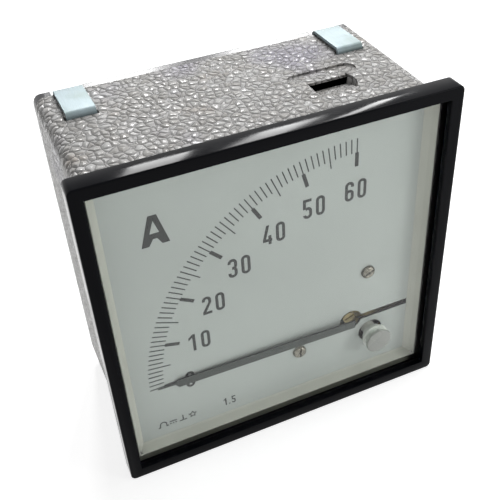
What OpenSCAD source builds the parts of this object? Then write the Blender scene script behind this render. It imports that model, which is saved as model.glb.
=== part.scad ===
// Square panel-mounting moving-coil ammeter with a quadrant scale.
// Millimetres. +X right, +Y towards the back of the panel, +Z up.
// The origin is the centre of the bezel's rear face, where it seats on the panel.

/* [Bezel and window] */
// Side of the square case that passes through the panel
case_side = 90; // [80:1:110]
// How far the bezel stands out past the case on each side
bezel_overhang = 3; // [2.5:0.1:6]
// How far the window opening is inset from the case wall's outside
window_inset = 0.3; // [0:0.1:1]
// Radius of the bezel's outer corners
bezel_corner_r = 1.5; // [0.5:0.1:3]
// Radius along the bezel's front and rear outer edges
bezel_edge_r = 0.4; // [0.3:0.1:1.2]
// Thickness of the bezel's front lip
lip_t = 1.8; // [1.2:0.1:3]
// Thickness of the bezel's rim round the glass
bezel_rim = 1.85; // [1:0.05:2.2]
// Thickness of the snap lugs that hold the case flange
lug_t = 0.4; // [0.3:0.1:1]
// Length of each snap lug
lug_len = 14; // [6:1:30]
// How far the snap lugs reach inwards
lug_reach = 0.8; // [0.5:0.05:0.9]
// Thickness of the window gasket
gasket_t = 0.25; // [0.2:0.05:0.6]
// Width of the window gasket
gasket_w = 1.1; // [0.8:0.1:1.3]
// Thickness of the front glass
glass_t = 1.8; // [1.2:0.1:3]
// Clearance round the glass inside the bezel
glass_clear = 0.1; // [0.05:0.05:0.3]

/* [Case] */
// Length of the case from the panel face to its open back
case_len = 43.2; // [40:0.2:70]
// Thickness of the case's sheet steel
case_wall = 0.7; // [0.5:0.1:1]
// Radius of the case's long edges
case_corner_r = 3; // [1.5:0.1:5]
// Distance from the pivot corner's side wall to the clamp pocket's left edge
pocket_from_side = 27.1; // [20:0.1:32]
// Width of the clamp pocket from its left edge to its drawn end
pocket_w = 12; // [8:0.1:16]
// Radius of the clamp pocket's drawn end
pocket_end_r = 6.6; // [6:0.1:9]
// Distance from the clamp pocket's front edge to the middle of its drawn end
pocket_end_mid = 5.6; // [4:0.1:6]
// Distance of the clamp pocket's front edge behind the panel face
pocket_front = 10; // [6:0.1:16]
// Length of the clamp pocket from front edge to cut edge
pocket_len = 8.9; // [6:0.1:12]
// Depth of the ramp at the clamp pocket's cut edge
pocket_depth = 2.8; // [2:0.1:4]
// Depth of the step at the clamp pocket's front edge
pocket_step = 0.3; // [0.1:0.1:0.6]
// Gap between the ramp's free end and the cut edge
pocket_slot = 0.8; // [0.4:0.1:2]
// Width of the pressed land behind the pocket
land_w = 5.1; // [4:0.1:8]
// Length of the pressed land
land_len = 18.9; // [16:0.1:24]
// Distance from the land's left end to the pocket's left edge
land_lead = 3.6; // [2:0.1:5]
// Depth of the pressed land
land_depth = 0.5; // [0.3:0.1:0.6]

/* [Base and clips] */
// Thickness of the moulded base plate
base_t = 3; // [2:0.2:6]
// Radius along the base plate's rear edges
base_edge_r = 1; // [0.4:0.1:1.2]
// Depth of the locating rim inside the case
spigot_depth = 2.5; // [1:0.1:4]
// Wall of the locating rim
spigot_wall = 1.6; // [1:0.1:3]
// Clearance between the locating rim and the case
spigot_clear = 0.15; // [0.05:0.05:0.5]
// Width of a retaining clip
clip_w = 7.4; // [5:0.1:12]
// Thickness of a retaining clip's strip
clip_t = 0.8; // [0.6:0.1:1.5]
// Gap between a retaining clip and the case wall at the back edge
clip_gap = 0.4; // [0:0.1:0.5]
// How much a retaining clip falls from its hook to the back edge
clip_fall = 0.3; // [0:0.1:0.5]
// Outer radius of a clip's bend above its hook
clip_hook_r = 1.2; // [1.1:0.1:1.4]
// Outer radius of a clip's bend over the base plate
clip_back_r = 1.9; // [1.6:0.1:2]
// Distance from the case's middle to a clip's middle
clip_x = 36.2; // [20:0.05:37]
// Length of a clip ahead of the case's back edge
clip_reach = 14; // [8:0.1:20]
// How far a clip's hook dips below the case wall's outside
clip_hook = 1.9; // [1.2:0.1:3]
// How far a clip's tail runs down behind the base plate
clip_tail = 4; // [3:0.5:14]
// Thickness of the base plate under a clip's tail
clip_seat = 0.3; // [0.2:0.1:0.8]
// Clearance round a clip in its slot and notch
clip_clear = 0.5; // [0.1:0.05:0.8]
// Length of a clip's slot ahead of the hook
clip_slot_lead = 0.3; // [0.1:0.1:2]

/* [Terminals] */
// Distance between the two terminal studs
stud_pitch = 32; // [24:1:50]
// Height of the terminal studs above the centre
stud_z = 10; // [4:1:30]
// Radius of a terminal stud
stud_r = 2; // [1.5:0.5:3]
// Length of a stud behind the base plate
stud_len = 14.6; // [13:0.2:30]
// Radius of a stud's round head inside the case
stud_head_r = 4; // [3.5:0.1:5]
// Thickness of a stud's head
stud_head_t = 1.6; // [1:0.1:3]
// Clearance of a stud in the base plate and nuts
stud_clear = 0.1; // [0.05:0.05:0.3]
// Width across the flats of a terminal nut
nut_af = 7; // [6:0.5:10]
// Thickness of a terminal nut
nut_t = 3.2; // [2:0.1:5]
// Outer radius of a terminal washer
washer_r = 4.5; // [4:0.1:7]
// Thickness of a terminal washer
washer_t = 0.8; // [0.5:0.1:1.5]
// Height of the raised polarity marks
mark_h = 0.4; // [0.2:0.1:0.8]
// Size of the polarity marks
mark_size = 5; // [3:0.5:8]
// Width of the bars of the polarity marks
mark_w = 1.2; // [0.8:0.1:2]

/* [Dial and liner] */
// Distance from the case's right wall to the pivot
pivot_from_side = 21.8; // [21.5:0.1:26]
// Distance from the case's bottom wall to the pivot
pivot_from_bottom = 21.2; // [20.8:0.1:26]
// Depth of the space between glass and dial
dial_depth = 3.15; // [2.8:0.05:8]
// Thickness of the dial plate
dial_t = 0.8; // [0.5:0.1:1.5]
// Clearance between dial plate and case
dial_clear = 0.3; // [0.1:0.1:1]
// Thickness of the liner's front flange
liner_flange_t = 0.35; // [0.25:0.05:0.8]
// Width of the liner's side walls at the dial
liner_side = 2.5; // [1:0.1:4]
// Height of the liner's top and bottom walls at the dial
liner_sill = 1.4; // [1:0.1:4]
// Width of the liner's walls at the glass
liner_front = 0.8; // [0.7:0.1:1]
// Clearance between liner and case
liner_clear = 0.2; // [0.1:0.05:0.4]
// Radius of the hole round the pivot in the dial
pivot_hole_r = 3.5; // [3.2:0.05:4]
// Width of the slot from the pivot hole to the dial's edge
dial_slot_w = 2.1; // [1.5:0.1:3]
// Outer radius of the scale
scale_r = 60.6; // [56:0.1:60.8]
// Number of scale divisions
scale_divisions = 60; // [60, 30]
// Sweep of the scale in degrees
scale_sweep = 90; // [90]
// Length of a short scale mark
mark_short = 4; // [2:0.1:5]
// Length of a fifth scale mark
mark_fifth = 6.1; // [5:0.1:8]
// Width of a thin scale mark
mark_thin = 0.3; // [0.2:0.05:0.5]
// Length of a bar at each tenth mark
mark_bar = 4; // [3:0.1:5]
// Width of a bar at each tenth mark
mark_bar_w = 1; // [0.6:0.1:1.5]
// Thickness of the printed ink
ink_t = 0.06; // [0.04:0.01:0.1]
// Height of the numerals
digit_h = 5.9; // [5:0.1:7]
// Width of one numeral
digit_w = 2.5; // [2.2:0.1:3]
// Stroke of the numerals
digit_stroke = 0.8; // [0.5:0.05:0.9]
// Distance between two numerals' middles
digit_pitch = 3.6; // [3.2:0.1:4.5]
// Radius of the circle that the numerals stand on
digit_ring_r = 45.5; // [43:0.1:47]
// Height of the unit letter
unit_h = 8.5; // [6:0.1:10]
// Width of the unit letter
unit_w = 7; // [5:0.1:9]
// Stroke of the unit letter
unit_stroke = 1.7; // [1:0.1:2.2]
// Place of the unit letter's middle, left of the centre
unit_left = 29.7; // [24:0.1:33]
// Place of the unit letter's middle, above the centre
unit_up = 27.4; // [22:0.1:33]
// Height of the small class figure
class_h = 2.8; // [2:0.1:3]
// Distance of the class figure left of the centre
class_left = 15.2; // [10:0.1:20]
// Size of the small signs
sign_size = 2.2; // [1.6:0.1:2.4]
// Width of the small signs' lines
sign_stroke = 0.35; // [0.2:0.05:0.4]
// Distance between the small signs
sign_pitch = 2.9; // [2.7:0.1:3.6]
// Distance of the first small sign left of the centre
signs_left = 35.5; // [30:0.1:36.5]
// Distance of the small print below the centre
small_print_down = 38.6; // [34:0.1:39]

/* [Movement] */
// Radius of the core magnet
core_r = 8; // [7:0.1:9]
// Length of the core magnet and its yoke ring
core_len = 15; // [10:0.5:16]
// Width of the air gap round the core magnet
air_gap = 2.6; // [2.3:0.1:3]
// Wall of the soft-iron yoke ring
yoke_wall = 4.4; // [3:0.1:4.4]
// Half angle of each rib that holds the core magnet
rib_half_angle = 13; // [8:1:20]
// Clearance between a coil and what it turns past
coil_clear = 0.6; // [0.4:0.05:0.8]
// Thickness of the aluminium coil former
former_t = 0.4; // [0.3:0.05:0.6]
// Width of the coil former
former_w = 3.2; // [2.8:0.1:4]
// Thickness of the copper winding
winding_t = 0.8; // [0.5:0.05:0.9]
// Width of the copper winding
winding_w = 2.6; // [1.5:0.1:2.8]
// Distance between the coil former and the core's ends
coil_end_gap = 0.9; // [0.6:0.1:2]
// Thickness of the movement frame's plate
frame_t = 2.5; // [1.5:0.1:4]
// Radius of the circle of posts and pillars round the pivot
post_ring_r = 17.3; // [17.2:0.1:18]
// Radius of a dial post
post_r = 2.2; // [1.8:0.1:2.2]
// Radius of a bridge pillar
pillar_r = 2.2; // [1.8:0.1:2.2]
// Radius of a base pillar
base_pillar_r = 3; // [2.5:0.1:3.5]
// Radius of the circle of base pillars round the pivot
base_ring_r = 18; // [17.5:0.1:18.5]
// Radius of the small screws' threads
screw_r = 1; // [0.8:0.1:1.2]
// Radius of the small screws' heads
screw_head_r = 2; // [1.6:0.1:2.2]
// Height of the small screws' heads
screw_head_h = 1; // [0.8:0.1:1.4]
// Width of the screw slots
slot_w = 0.5; // [0.3:0.1:0.7]
// Depth of the screw slots
slot_d = 0.5; // [0.3:0.1:0.7]
// Length of a small screw's thread
screw_len = 6; // [4:0.5:10]
// Clearance round a small screw's thread
screw_clear = 0.05; // [0.02:0.01:0.15]
// Thickness of the bridges
bridge_t = 1.2; // [0.8:0.1:2]
// Width of the bridges' arms
bridge_w = 4; // [3:0.1:4.4]
// Thickness of the washers that insulate the front bridge
insulator_t = 0.8; // [0.5:0.1:1.2]

/* [Bearings, springs and pointer] */
// Gap between the dial's back and the front jewel screw
jewel_screw_gap = 0.4; // [0.3:0.05:1]
// Radius of a jewel screw's thread
jewel_screw_r = 1.25; // [1.2:0.05:1.5]
// Radius of a jewel screw's head
jewel_head_r = 1.8; // [1.6:0.05:2]
// Height of a jewel screw's head
jewel_head_h = 0.6; // [0.5:0.1:1.5]
// Length of a jewel screw behind its bridge
jewel_screw_tip = 0.7; // [0.5:0.1:1.5]
// Outer radius of a jewel
jewel_r = 0.7; // [0.6:0.05:0.8]
// Height of a jewel
jewel_h = 0.8; // [0.6:0.1:1.2]
// Radius of a pivot pin
pivot_r = 0.25; // [0.2:0.05:0.3]
// Running clearance of a pivot in its jewel
pivot_clear = 0.06; // [0.02:0.01:0.1]
// How far a pivot reaches into its jewel
pivot_reach = 0.5; // [0.3:0.1:0.6]
// Radius of the staffs that carry the coil
staff_r = 0.5; // [0.4:0.05:0.6]
// Radius of the foot that is cemented to the coil
staff_foot_r = 1.5; // [1.2:0.1:2]
// Thickness of the foot that is cemented to the coil
staff_foot_t = 0.4; // [0.3:0.1:0.6]
// Radius of a hairspring's collet
collet_r = 1; // [0.8:0.1:1.2]
// Outer radius of a hairspring
spring_r = 6.9; // [5:0.1:7]
// Number of turns of a hairspring
spring_turns = 5; // [3:1:6]
// Thickness of a hairspring's strip
spring_t = 0.15; // [0.1:0.01:0.2]
// Height of a hairspring's strip
spring_h = 0.5; // [0.3:0.1:0.8]
// Gap between a hairspring's inner turn and its collet
spring_gap = 0.2; // [0.1:0.05:0.4]
// Thickness of the zero lever
lever_t = 0.4; // [0.3:0.1:0.6]
// Axial clearance of the zero lever
lever_clear = 0.1; // [0.05:0.05:0.2]
// Outer radius of the zero lever's ring
lever_ring_r = 2; // [1.9:0.05:2.1]
// Width of the zero lever's arms
lever_w = 1.6; // [1.2:0.1:2]
// Thickness of the washer that loads the zero lever
lever_washer_t = 0.25; // [0.15:0.05:0.4]
// Distance from the pivot to the zero adjuster's axis
adjuster_dist = 9.33; // [9:0.01:10.5]
// Offset of the zero adjuster's eccentric pin
eccentric = 1.2; // [0.8:0.1:1.4]
// Radius of the eccentric pin
eccentric_r = 0.8; // [0.5:0.05:0.9]
// Side clearance of the eccentric pin in its fork
fork_clear = 0.1; // [0.08:0.01:0.15]
// Width of each prong of the fork
prong_w = 0.9; // [0.7:0.1:1.2]
// Radius of the zero adjuster's shaft
adjuster_r = 3.1; // [2.4:0.05:3.2]
// Radius of the adjuster's stem behind its shaft
adjuster_stem_r = 2.1; // [2:0.05:2.2]
// Gap between the adjuster's shaft and the dial
adjuster_stand = 1; // [0.5:0.1:2]
// Running clearance of the zero adjuster in the glass
adjuster_clear = 0.05; // [0.02:0.01:0.1]
// Radius of the hole for the zero adjuster in the dial
adjuster_hole_r = 3.8; // [3.6:0.05:4.5]
// Radius of the zero adjuster's head
adjuster_head_r = 4; // [3.4:0.1:4.5]
// Thickness of the zero adjuster's head
adjuster_head_t = 0.5; // [0.3:0.1:1]
// Width of the zero adjuster's screwdriver slot
adjuster_slot_w = 0.9; // [0.6:0.1:1.2]
// Thickness of the clip behind the glass
adjuster_clip_t = 0.4; // [0.3:0.1:0.6]
// Width of the clip behind the glass
adjuster_clip_w = 0.9; // [0.6:0.1:1.2]
// Gap between pointer and dial at the pivot
pointer_gap = 1.65; // [1.3:0.05:3]
// Gap between pointer and dial at the pointer's tip
pointer_tip_gap = 0.4; // [0.3:0.05:1.2]
// Thickness of the pointer
pointer_t = 0.4; // [0.3:0.1:0.6]
// Width of the pointer's bar
pointer_w = 2.6; // [1.5:0.1:3]
// Distance from the pivot to the pointer's tip
pointer_len = 58.6; // [50:0.1:59]
// Length of the pointer's knife tip
pointer_tip_len = 5.7; // [3:0.1:8]
// Width of the pointer's knife tip
pointer_tip_w = 0.5; // [0.3:0.1:0.8]
// Width of the pointer's leg through the dial
leg_w = 1.6; // [1:0.1:1.6]
// How far the pointer's bar runs past the pivot
pointer_heel = 0.4; // [0:0.1:1.5]
// Inner radius of the pointer's leg
leg_r = 2.35; // [2.3:0.05:2.4]
// Radius of the pointer's hub
hub_r = 1.5; // [1.3:0.1:2]
// Height of the pointer's hub
hub_h = 1.2; // [1:0.1:2]
// Radius of the balance arms
arm_r = 0.35; // [0.25:0.05:0.5]
// Distance from the pivot to the ends of the balance arms
arm_len = 6; // [4.5:0.1:6.1]
// Radius of a balance weight
weight_r = 0.95; // [0.6:0.05:1.1]
// Length of a balance weight
weight_len = 2.4; // [1:0.1:2.6]

/* [Resistor and wires] */
// Left place of the series resistor
resistor_left = 18; // [14:1:30]
// Low place of the series resistor
resistor_down = 18; // [10:1:30]
// Length of the resistor's bobbin
bobbin_len = 12; // [8:0.5:16]
// Radius of the bobbin's flanges
bobbin_r = 6; // [5:0.1:8]
// Radius of the bobbin's core
bobbin_core_r = 3; // [2.5:0.1:4]
// Thickness of the bobbin's flanges
bobbin_flange_t = 1.2; // [0.8:0.1:2]
// Outer radius of the resistance winding
resistor_winding_r = 5; // [4.5:0.1:5.5]
// Radius of the hook-up wires
wire_r = 0.6; // [0.4:0.05:0.8]
// Thickness of the solder tags
tag_t = 0.5; // [0.3:0.1:0.8]
// Width of the solder tags' tongues
tag_w = 3; // [2:0.1:4]
// Length of the solder tags' tongues
tag_len = 8; // [6:0.5:12]

/* [Hidden] */
$fn = 48;
hair = 0.01;
wire_sides = 8;
wire_steps = 4;
half = case_side / 2;
inner = half - case_wall;
// Front to back: every level follows from the thicknesses above
flange_back = -lug_t;
flange_front = flange_back - case_wall;
glass_back = flange_front - liner_flange_t;
glass_front = glass_back - glass_t;
lip_back = glass_front - gasket_t;
bezel_front = lip_back - lip_t;
bezel_half = half + bezel_overhang;
recess_half = bezel_half - bezel_rim;
glass_half = recess_half - glass_clear;
window_half = half - window_inset;
dial_front = glass_back + dial_depth;
dial_back = dial_front + dial_t;
base_back = case_len + base_t;
liner_flare = 0.7;
// Straight run of a clip between its bends
clip_run = clip_seat + clip_t - clip_back_r + clip_reach - clip_hook_r;
bend_steps = 8;
// Pivot and the levels of the movement
pivot = [half - pivot_from_side, pivot_from_bottom - half];
head_front = dial_back + jewel_screw_gap;
head_back = head_front + jewel_head_h;
lever_front = head_back + lever_washer_t + lever_clear;
lever_back = lever_front + lever_t;
bridge_front = lever_back + lever_clear;
bridge_back = bridge_front + bridge_t;
jewel_back = bridge_back + jewel_screw_tip;
hub_gap = 0.35;
collet_lead = 0.2;
spring_lead = 0.8;
spring_tail = 1.3;
hub_front = jewel_back + hub_gap;
hub_back = hub_front + hub_h;
spring_front = hub_back + spring_lead;
spring_back = spring_front + spring_h;
coil_front = spring_back + spring_tail;
wire_turn_t = former_t + winding_t;
core_front = coil_front + wire_turn_t + coil_end_gap;
core_back = core_front + core_len;
coil_back = core_back + coil_end_gap + wire_turn_t;
frame_back = core_back + frame_t;
rear_spring_lead = 1.4;
rear_spring_tail = 1.8;
rear_spring_front = coil_back + rear_spring_lead;
rear_spring_back = rear_spring_front + spring_h;
rear_jewel_front = rear_spring_back + rear_spring_tail;
rear_bridge_front = rear_jewel_front + jewel_screw_tip;
rear_bridge_back = rear_bridge_front + bridge_t;
ring_in = core_r + air_gap;
ring_out = ring_in + yoke_wall;
former_in = core_r + coil_clear;
former_out = former_in + former_t;
winding_out = former_out + winding_t;
frame_rim_clear = 0.2;
frame_in = ring_in + frame_rim_clear;
// Directions round the pivot, in degrees from +X towards +Z
dial_post_angles = [74, 197];
pillar_angles = [-80, -10];
base_pillar_angles = [20, 135, -45];
rib_angles = [135, -45];
yoke_screw_angles = [45, 225];
rear_bridge_angles = [135, -45];
rear_leg_r = 1.8;
rear_leg_edge = 0.1;
rear_bridge_leg_r = frame_in + rear_leg_r + rear_leg_edge;
adjuster_angle = -45;
lever_tail_angle = 30;
rear_tail_angle = 60;
tail_post_t = 0.6;
adjuster = pivot + polar(adjuster_dist, adjuster_angle);
adjuster_lever_gap = 0.5;
adjuster_end = lever_front - adjuster_lever_gap;
pointer_back = dial_front - pointer_gap;
pointer_front = pointer_back - pointer_t;
pointer_lean = atan((pointer_gap - pointer_tip_gap) / pointer_len);
pointer_tip_t = 0.2;
leg_t = 0.4;
coil_rest_angle = 90;
// Terminal stack behind the base plate
first_nut_y = base_back + washer_t;
second_washer_y = first_nut_y + nut_t;
second_nut_y = second_washer_y + washer_t;
stud_end = base_back + stud_len;
tag_front = case_len - tag_t;
stud_head_front = tag_front - stud_head_t;
resistor = [-resistor_left, -resistor_down];
// Where the numerals stand off their circle
side_shift = 1.7;
zero_shift = 3.8;
zero_drop = 0.75;
// Points that the hook-up wire from the resistor to the front bridge passes
wire_entry_back = 7;
wire_points = [[-6, 30, -26], [2, 22, -37], [13, 12, -40.5]];
wire_run_in = 7;
wire_touch = 0.15;
wire_drop = 6;

// ---- Helpers ----

function polar(r, angle) = [r * cos(angle), r * sin(angle)];

// Flat outline in X and Z, given thickness t behind y
module slab(y, t) {
    translate([0, y + t, 0])
        rotate([90, 0, 0])
            linear_extrude(height = t)
                children();
}

// Round bar along Y at a point of the X-Z plane
module rod(at, y, len, r) {
    translate([at[0], y + len, at[1]])
        rotate([90, 0, 0])
            cylinder(h = len, r = r);
}

// Moves children from the origin of X-Z to a point, turned by an angle
module place(at, angle = 0) {
    translate([at[0], 0, at[1]])
        rotate([0, -angle, 0])
            children();
}

module rounded_square(side, r) {
    square([side - 2 * r, side], center = true);
    square([side, side - 2 * r], center = true);
    for (x = [-1, 1], y = [-1, 1])
        translate([x * (side / 2 - r), y * (side / 2 - r)])
            circle(r = r);
}

// Rectangle with round corners at its left or right end
module edge_profile(len, side, r_start, r_end) {
    straight = len - r_start - r_end;
    translate([r_start, -side / 2])
        square([straight, side]);
    for (end = [[r_start, r_start], [len - r_end, r_end]])
        if (end[1] > 0) {
            translate([end[0], 0])
                square([2 * end[1], side - 2 * end[1]], center = true);
            for (s = [-1, 1])
                translate([end[0], s * (side / 2 - end[1])])
                    circle(r = end[1]);
        }
}

// Square plate along Y whose front and rear edges are rounded
module soft_plate(y, len, side, corner_r, front_r, back_r) {
    intersection() {
        slab(y, len)
            rounded_square(side, corner_r);
        translate([0, y, -side])
            rotate([0, 0, 90])
                linear_extrude(height = 2 * side)
                    edge_profile(len, side, front_r, back_r);
        translate([-side, y, 0])
            rotate([90, 0, 90])
                linear_extrude(height = 2 * side)
                    edge_profile(len, side, front_r, back_r);
    }
}

// Cheese-head screw driven from the front, its head's seat at y
module screw_front(at, y, len, slot_angle = 0) {
    difference() {
        union() {
            rod(at, y - screw_head_h, screw_head_h, screw_head_r);
            rod(at, y - hair, len + hair, screw_r);
        }
        place(at, slot_angle)
            translate([-screw_head_r - 1, y - screw_head_h - 1, -slot_w / 2])
                cube([2 * screw_head_r + 2, slot_d + 1, slot_w]);
    }
}

// Ring along Y
module ring(at, y, len, r_out, r_in) {
    difference() {
        rod(at, y, len, r_out);
        rod(at, y - 1, len + 2, r_in);
    }
}

function unit(v) = v / norm(v);

// Point on a smooth curve through four neighbouring points
function curve_point(a, b, c, d, t) =
    0.5 * (2 * b + (c - a) * t + (2 * a - 5 * b + 4 * c - d) * t * t + (3 * b - a - 3 * c + d) * t * t * t);

function smooth_route(p) = concat(
    [for (i = [0 : len(p) - 2], k = [0 : wire_steps - 1])
        curve_point(p[max(i - 1, 0)], p[i], p[i + 1], p[min(i + 2, len(p) - 1)], k / wire_steps)],
    [p[len(p) - 1]]);

// Ring of points round a route's point, square to its run
function wire_ring(at, run, side) =
    let (u = unit(cross(run, side)), v = unit(cross(run, u)))
    [for (k = [0 : wire_sides - 1]) at + wire_r * (u * cos(360 * k / wire_sides) + v * sin(360 * k / wire_sides))];

// Round wire swept along a smooth route; side is a direction that the route never takes
module wire(points, side) {
    route = smooth_route(points);
    last = len(route) - 1;
    rings = [for (i = [0 : last])
        each wire_ring(route[i], route[min(i + 1, last)] - route[max(i - 1, 0)], side)];
    walls = [for (i = [0 : last - 1], k = [0 : wire_sides - 1])
        let (a = i * wire_sides + k, b = i * wire_sides + (k + 1) % wire_sides)
        [a, b, b + wire_sides, a + wire_sides]];
    polyhedron(points = rings, faces = concat(walls, [
        [for (k = [wire_sides - 1 : -1 : 0]) k],
        [for (k = [0 : wire_sides - 1]) last * wire_sides + k]]));
}

// ---- Bezel, glass and liner ----

module bezel_frame() {
    color([0.03, 0.03, 0.04])
    union() {
        difference() {
            soft_plate(bezel_front, -bezel_front, 2 * bezel_half, bezel_corner_r, bezel_edge_r, 0);
            slab(bezel_front - 1, lip_t + 2)
                square(2 * window_half, center = true);
            slab(lip_back, 1 - lip_back)
                square(2 * recess_half, center = true);
        }
        for (side = [0 : 90 : 270])
            rotate([0, side, 0])
                translate([-lug_len / 2, -lug_t, recess_half - lug_reach])
                    cube([lug_len, lug_t, lug_reach + hair]);
    }
}

module window_gasket() {
    color([0.1, 0.1, 0.1])
    slab(lip_back, gasket_t)
        difference() {
            square(2 * glass_half, center = true);
            square(2 * (glass_half - gasket_w), center = true);
        }
}

module front_glass() {
    color([0.8, 0.9, 0.9, 0.3])
    difference() {
        slab(glass_front, glass_t)
            square(2 * glass_half, center = true);
        rod(adjuster, glass_front - 1, glass_t + 2, adjuster_r + adjuster_clear);
    }
}

module dial_liner() {
    front_half = inner - liner_clear - liner_front + liner_flare;
    side_half = inner - liner_side;
    sill_half = inner - liner_sill;
    color([0.85, 0.83, 0.76])
    difference() {
        union() {
            slab(glass_back, liner_flange_t)
                square(2 * glass_half, center = true);
            slab(glass_back, dial_depth)
                rounded_square(2 * (inner - liner_clear), case_corner_r - case_wall);
        }
        translate([0, dial_front, 0])
            rotate([90, 0, 0])
                linear_extrude(height = dial_depth, slices = 1,
                               scale = [front_half / side_half, front_half / sill_half])
                    square([2 * side_half, 2 * sill_half], center = true);
        slab(glass_back - 1, 1 + hair)
            square(2 * front_half, center = true);
        slab(dial_front - hair, 1)
            square([2 * side_half, 2 * sill_half], center = true);
    }
}

// ---- Case ----

// Ramp and drawn end of a clamp pocket, grown by the sheet's thickness
module pocket_form(grow) {
    slope = atan((pocket_depth - pocket_step) / pocket_len);
    run = pocket_len - pocket_slot * (grow > 0 ? 1 : 0);
    end_from = pocket_w - pocket_end_r;
    intersection() {
        union() {
            translate([0, pocket_front - 5, half - 10])
                cube([end_from + hair, run + 5, 20]);
            intersection() {
                translate([end_from, pocket_front + pocket_end_mid, half])
                    sphere(r = pocket_end_r + grow);
                translate([end_from, pocket_front - 5, half - 10])
                    cube([20, run + 5, 10 + hair]);
            }
        }
        translate([-5, pocket_front, half - pocket_step])
            rotate([-slope, 0, 0])
                translate([0, 0, -grow])
                    cube([40, 30, 20]);
    }
}

module land_outline(grow) {
    r = land_w / 2;
    translate([r, 0]) circle(r = r + grow);
    translate([land_len - r, 0]) circle(r = r + grow);
    translate([r, -r - grow]) square([land_len - 2 * r, 2 * r + 2 * grow]);
}

module land(grow, z, h) {
    translate([-land_lead, pocket_front + pocket_len + land_w / 2, z])
        linear_extrude(height = h)
            land_outline(grow);
}

// A clamp pocket's metal, and the opening it leaves
module pocket_metal() {
    intersection() {
        pocket_form(case_wall);
        translate([0, 0, half - 10])
            cube([40, 40, 10 - case_wall + hair]);
    }
    difference() {
        land(case_wall, half - case_wall - land_depth, case_wall + land_depth - hair);
        translate([0, pocket_front, half - 10])
            cube([pocket_w, pocket_len, 20]);
    }
}

module pocket_opening() {
    pocket_form(0);
    land(0, half - land_depth, 5);
}

module at_pockets() {
    for (turn = [0, 180])
        rotate([0, turn, 0])
            translate([half - pocket_from_side, 0, 0])
                children();
}

module case_shell() {
    color([0.5, 0.5, 0.5])
    difference() {
        union() {
            difference() {
                union() {
                    slab(flange_front, case_len - flange_front)
                        rounded_square(case_side, case_corner_r);
                    slab(flange_front, case_wall)
                        square(2 * glass_half, center = true);
                }
                slab(flange_front - 1, case_len - flange_front + 2)
                    rounded_square(2 * inner, case_corner_r - case_wall);
            }
            at_pockets() pocket_metal();
        }
        at_pockets() pocket_opening();
        at_clips()
            translate([-clip_w / 2 - clip_clear, -clip_reach - clip_slot_lead, half - 2])
                cube([clip_w + 2 * clip_clear, clip_slot_lead + clip_t + clip_clear, 4]);
    }
}

// ---- Base plate and clips ----

module at_clips() {
    for (turn = [0, 180], x = [-1, 1])
        rotate([0, turn, 0])
            translate([x * clip_x, case_len, 0])
                children();
}

module base_plate() {
    spigot = 2 * (inner - spigot_clear);
    color([0.05, 0.05, 0.05])
    difference() {
        union() {
            soft_plate(case_len, base_t, case_side, case_corner_r, 0, base_edge_r);
            slab(case_len - spigot_depth, spigot_depth + hair)
                difference() {
                    rounded_square(spigot, case_corner_r - case_wall);
                    square(spigot - 2 * spigot_wall, center = true);
                }
            for (angle = base_pillar_angles)
                rod(pivot + polar(base_ring_r, angle), frame_back, case_len - frame_back + base_t / 2, base_pillar_r);
            polarity_marks();
        }
        for (x = [-1, 1])
            rod([x * stud_pitch / 2, stud_z], case_len - 1, base_t + 2, stud_r + stud_clear);
        for (angle = base_pillar_angles)
            rod(pivot + polar(base_ring_r, angle), frame_back - 1, screw_len - frame_t + 1.5, screw_r + screw_clear);
        rod(resistor, case_len - 1, base_t, screw_r + screw_clear);
        at_clips()
            clip_notch();
    }
}

// Raised plus and minus signs beside the studs
module polarity_marks() {
    mark_z = stud_z + washer_r + mark_size;
    translate([-stud_pitch / 2, base_back - hair, mark_z]) {
        polarity_bar(0);
        polarity_bar(90);
    }
    translate([stud_pitch / 2, base_back - hair, mark_z])
        polarity_bar(0);
}

module polarity_bar(angle) {
    rotate([0, angle, 0])
        translate([-mark_size / 2, 0, -mark_w / 2])
            cube([mark_size, mark_h + hair, mark_w]);
}

// Notches for the clips in the base plate's rim: a seat for the tail, open above it for the bend
module clip_notch() {
    w = clip_w + 2 * clip_clear;
    translate([-w / 2, clip_seat, half - clip_tail - clip_clear])
        cube([w, base_t, clip_tail + 5]);
    translate([-w / 2, 0, half + clip_gap + clip_t - clip_back_r - clip_clear])
        cube([w, base_t + 1, clip_back_r + clip_clear]);
}

function arc(centre, r, from, to) =
    [for (k = [0 : bend_steps]) centre + polar(r, from + (to - from) * k / bend_steps)];

// Side view of a clip: bent strip from the hook in the case's slot to the tail in the base plate's notch
module clip_outline() {
    back = clip_seat + clip_t;
    top = half + clip_gap + clip_t;
    hook_at = [clip_hook_r - clip_reach, top + clip_fall - clip_hook_r];
    tail_at = [back - clip_back_r, top - clip_back_r];
    crest = 90 - atan(clip_fall / clip_run);
    polygon(concat(
        [[-clip_reach, half - clip_hook]],
        arc(hook_at, clip_hook_r, 180, crest),
        arc(tail_at, clip_back_r, crest, 0),
        [[back, half - clip_tail], [clip_seat, half - clip_tail]],
        arc(tail_at, clip_back_r - clip_t, 0, crest),
        arc(hook_at, clip_hook_r - clip_t, crest, 180),
        [[clip_t - clip_reach, half - clip_hook]]));
}

module retaining_clips() {
    color([0.8, 0.82, 0.83])
    at_clips()
        translate([-clip_w / 2, 0, 0])
            rotate([90, 0, 90])
                linear_extrude(height = clip_w)
                    clip_outline();
}

// ---- Terminals ----

module at_studs() {
    for (x = [-1, 1])
        translate([x * stud_pitch / 2, 0, stud_z])
            children();
}

module terminal_studs() {
    chamfer = 0.5;
    color([0.85, 0.7, 0.4])
    at_studs() {
        rod([0, 0], stud_head_front, stud_head_t, stud_head_r);
        rod([0, 0], stud_head_front, stud_end - stud_head_front - chamfer, stud_r);
        translate([0, stud_end - chamfer, 0])
            rotate([-90, 0, 0])
                cylinder(h = chamfer, r1 = stud_r, r2 = stud_r - chamfer);
    }
}

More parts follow.
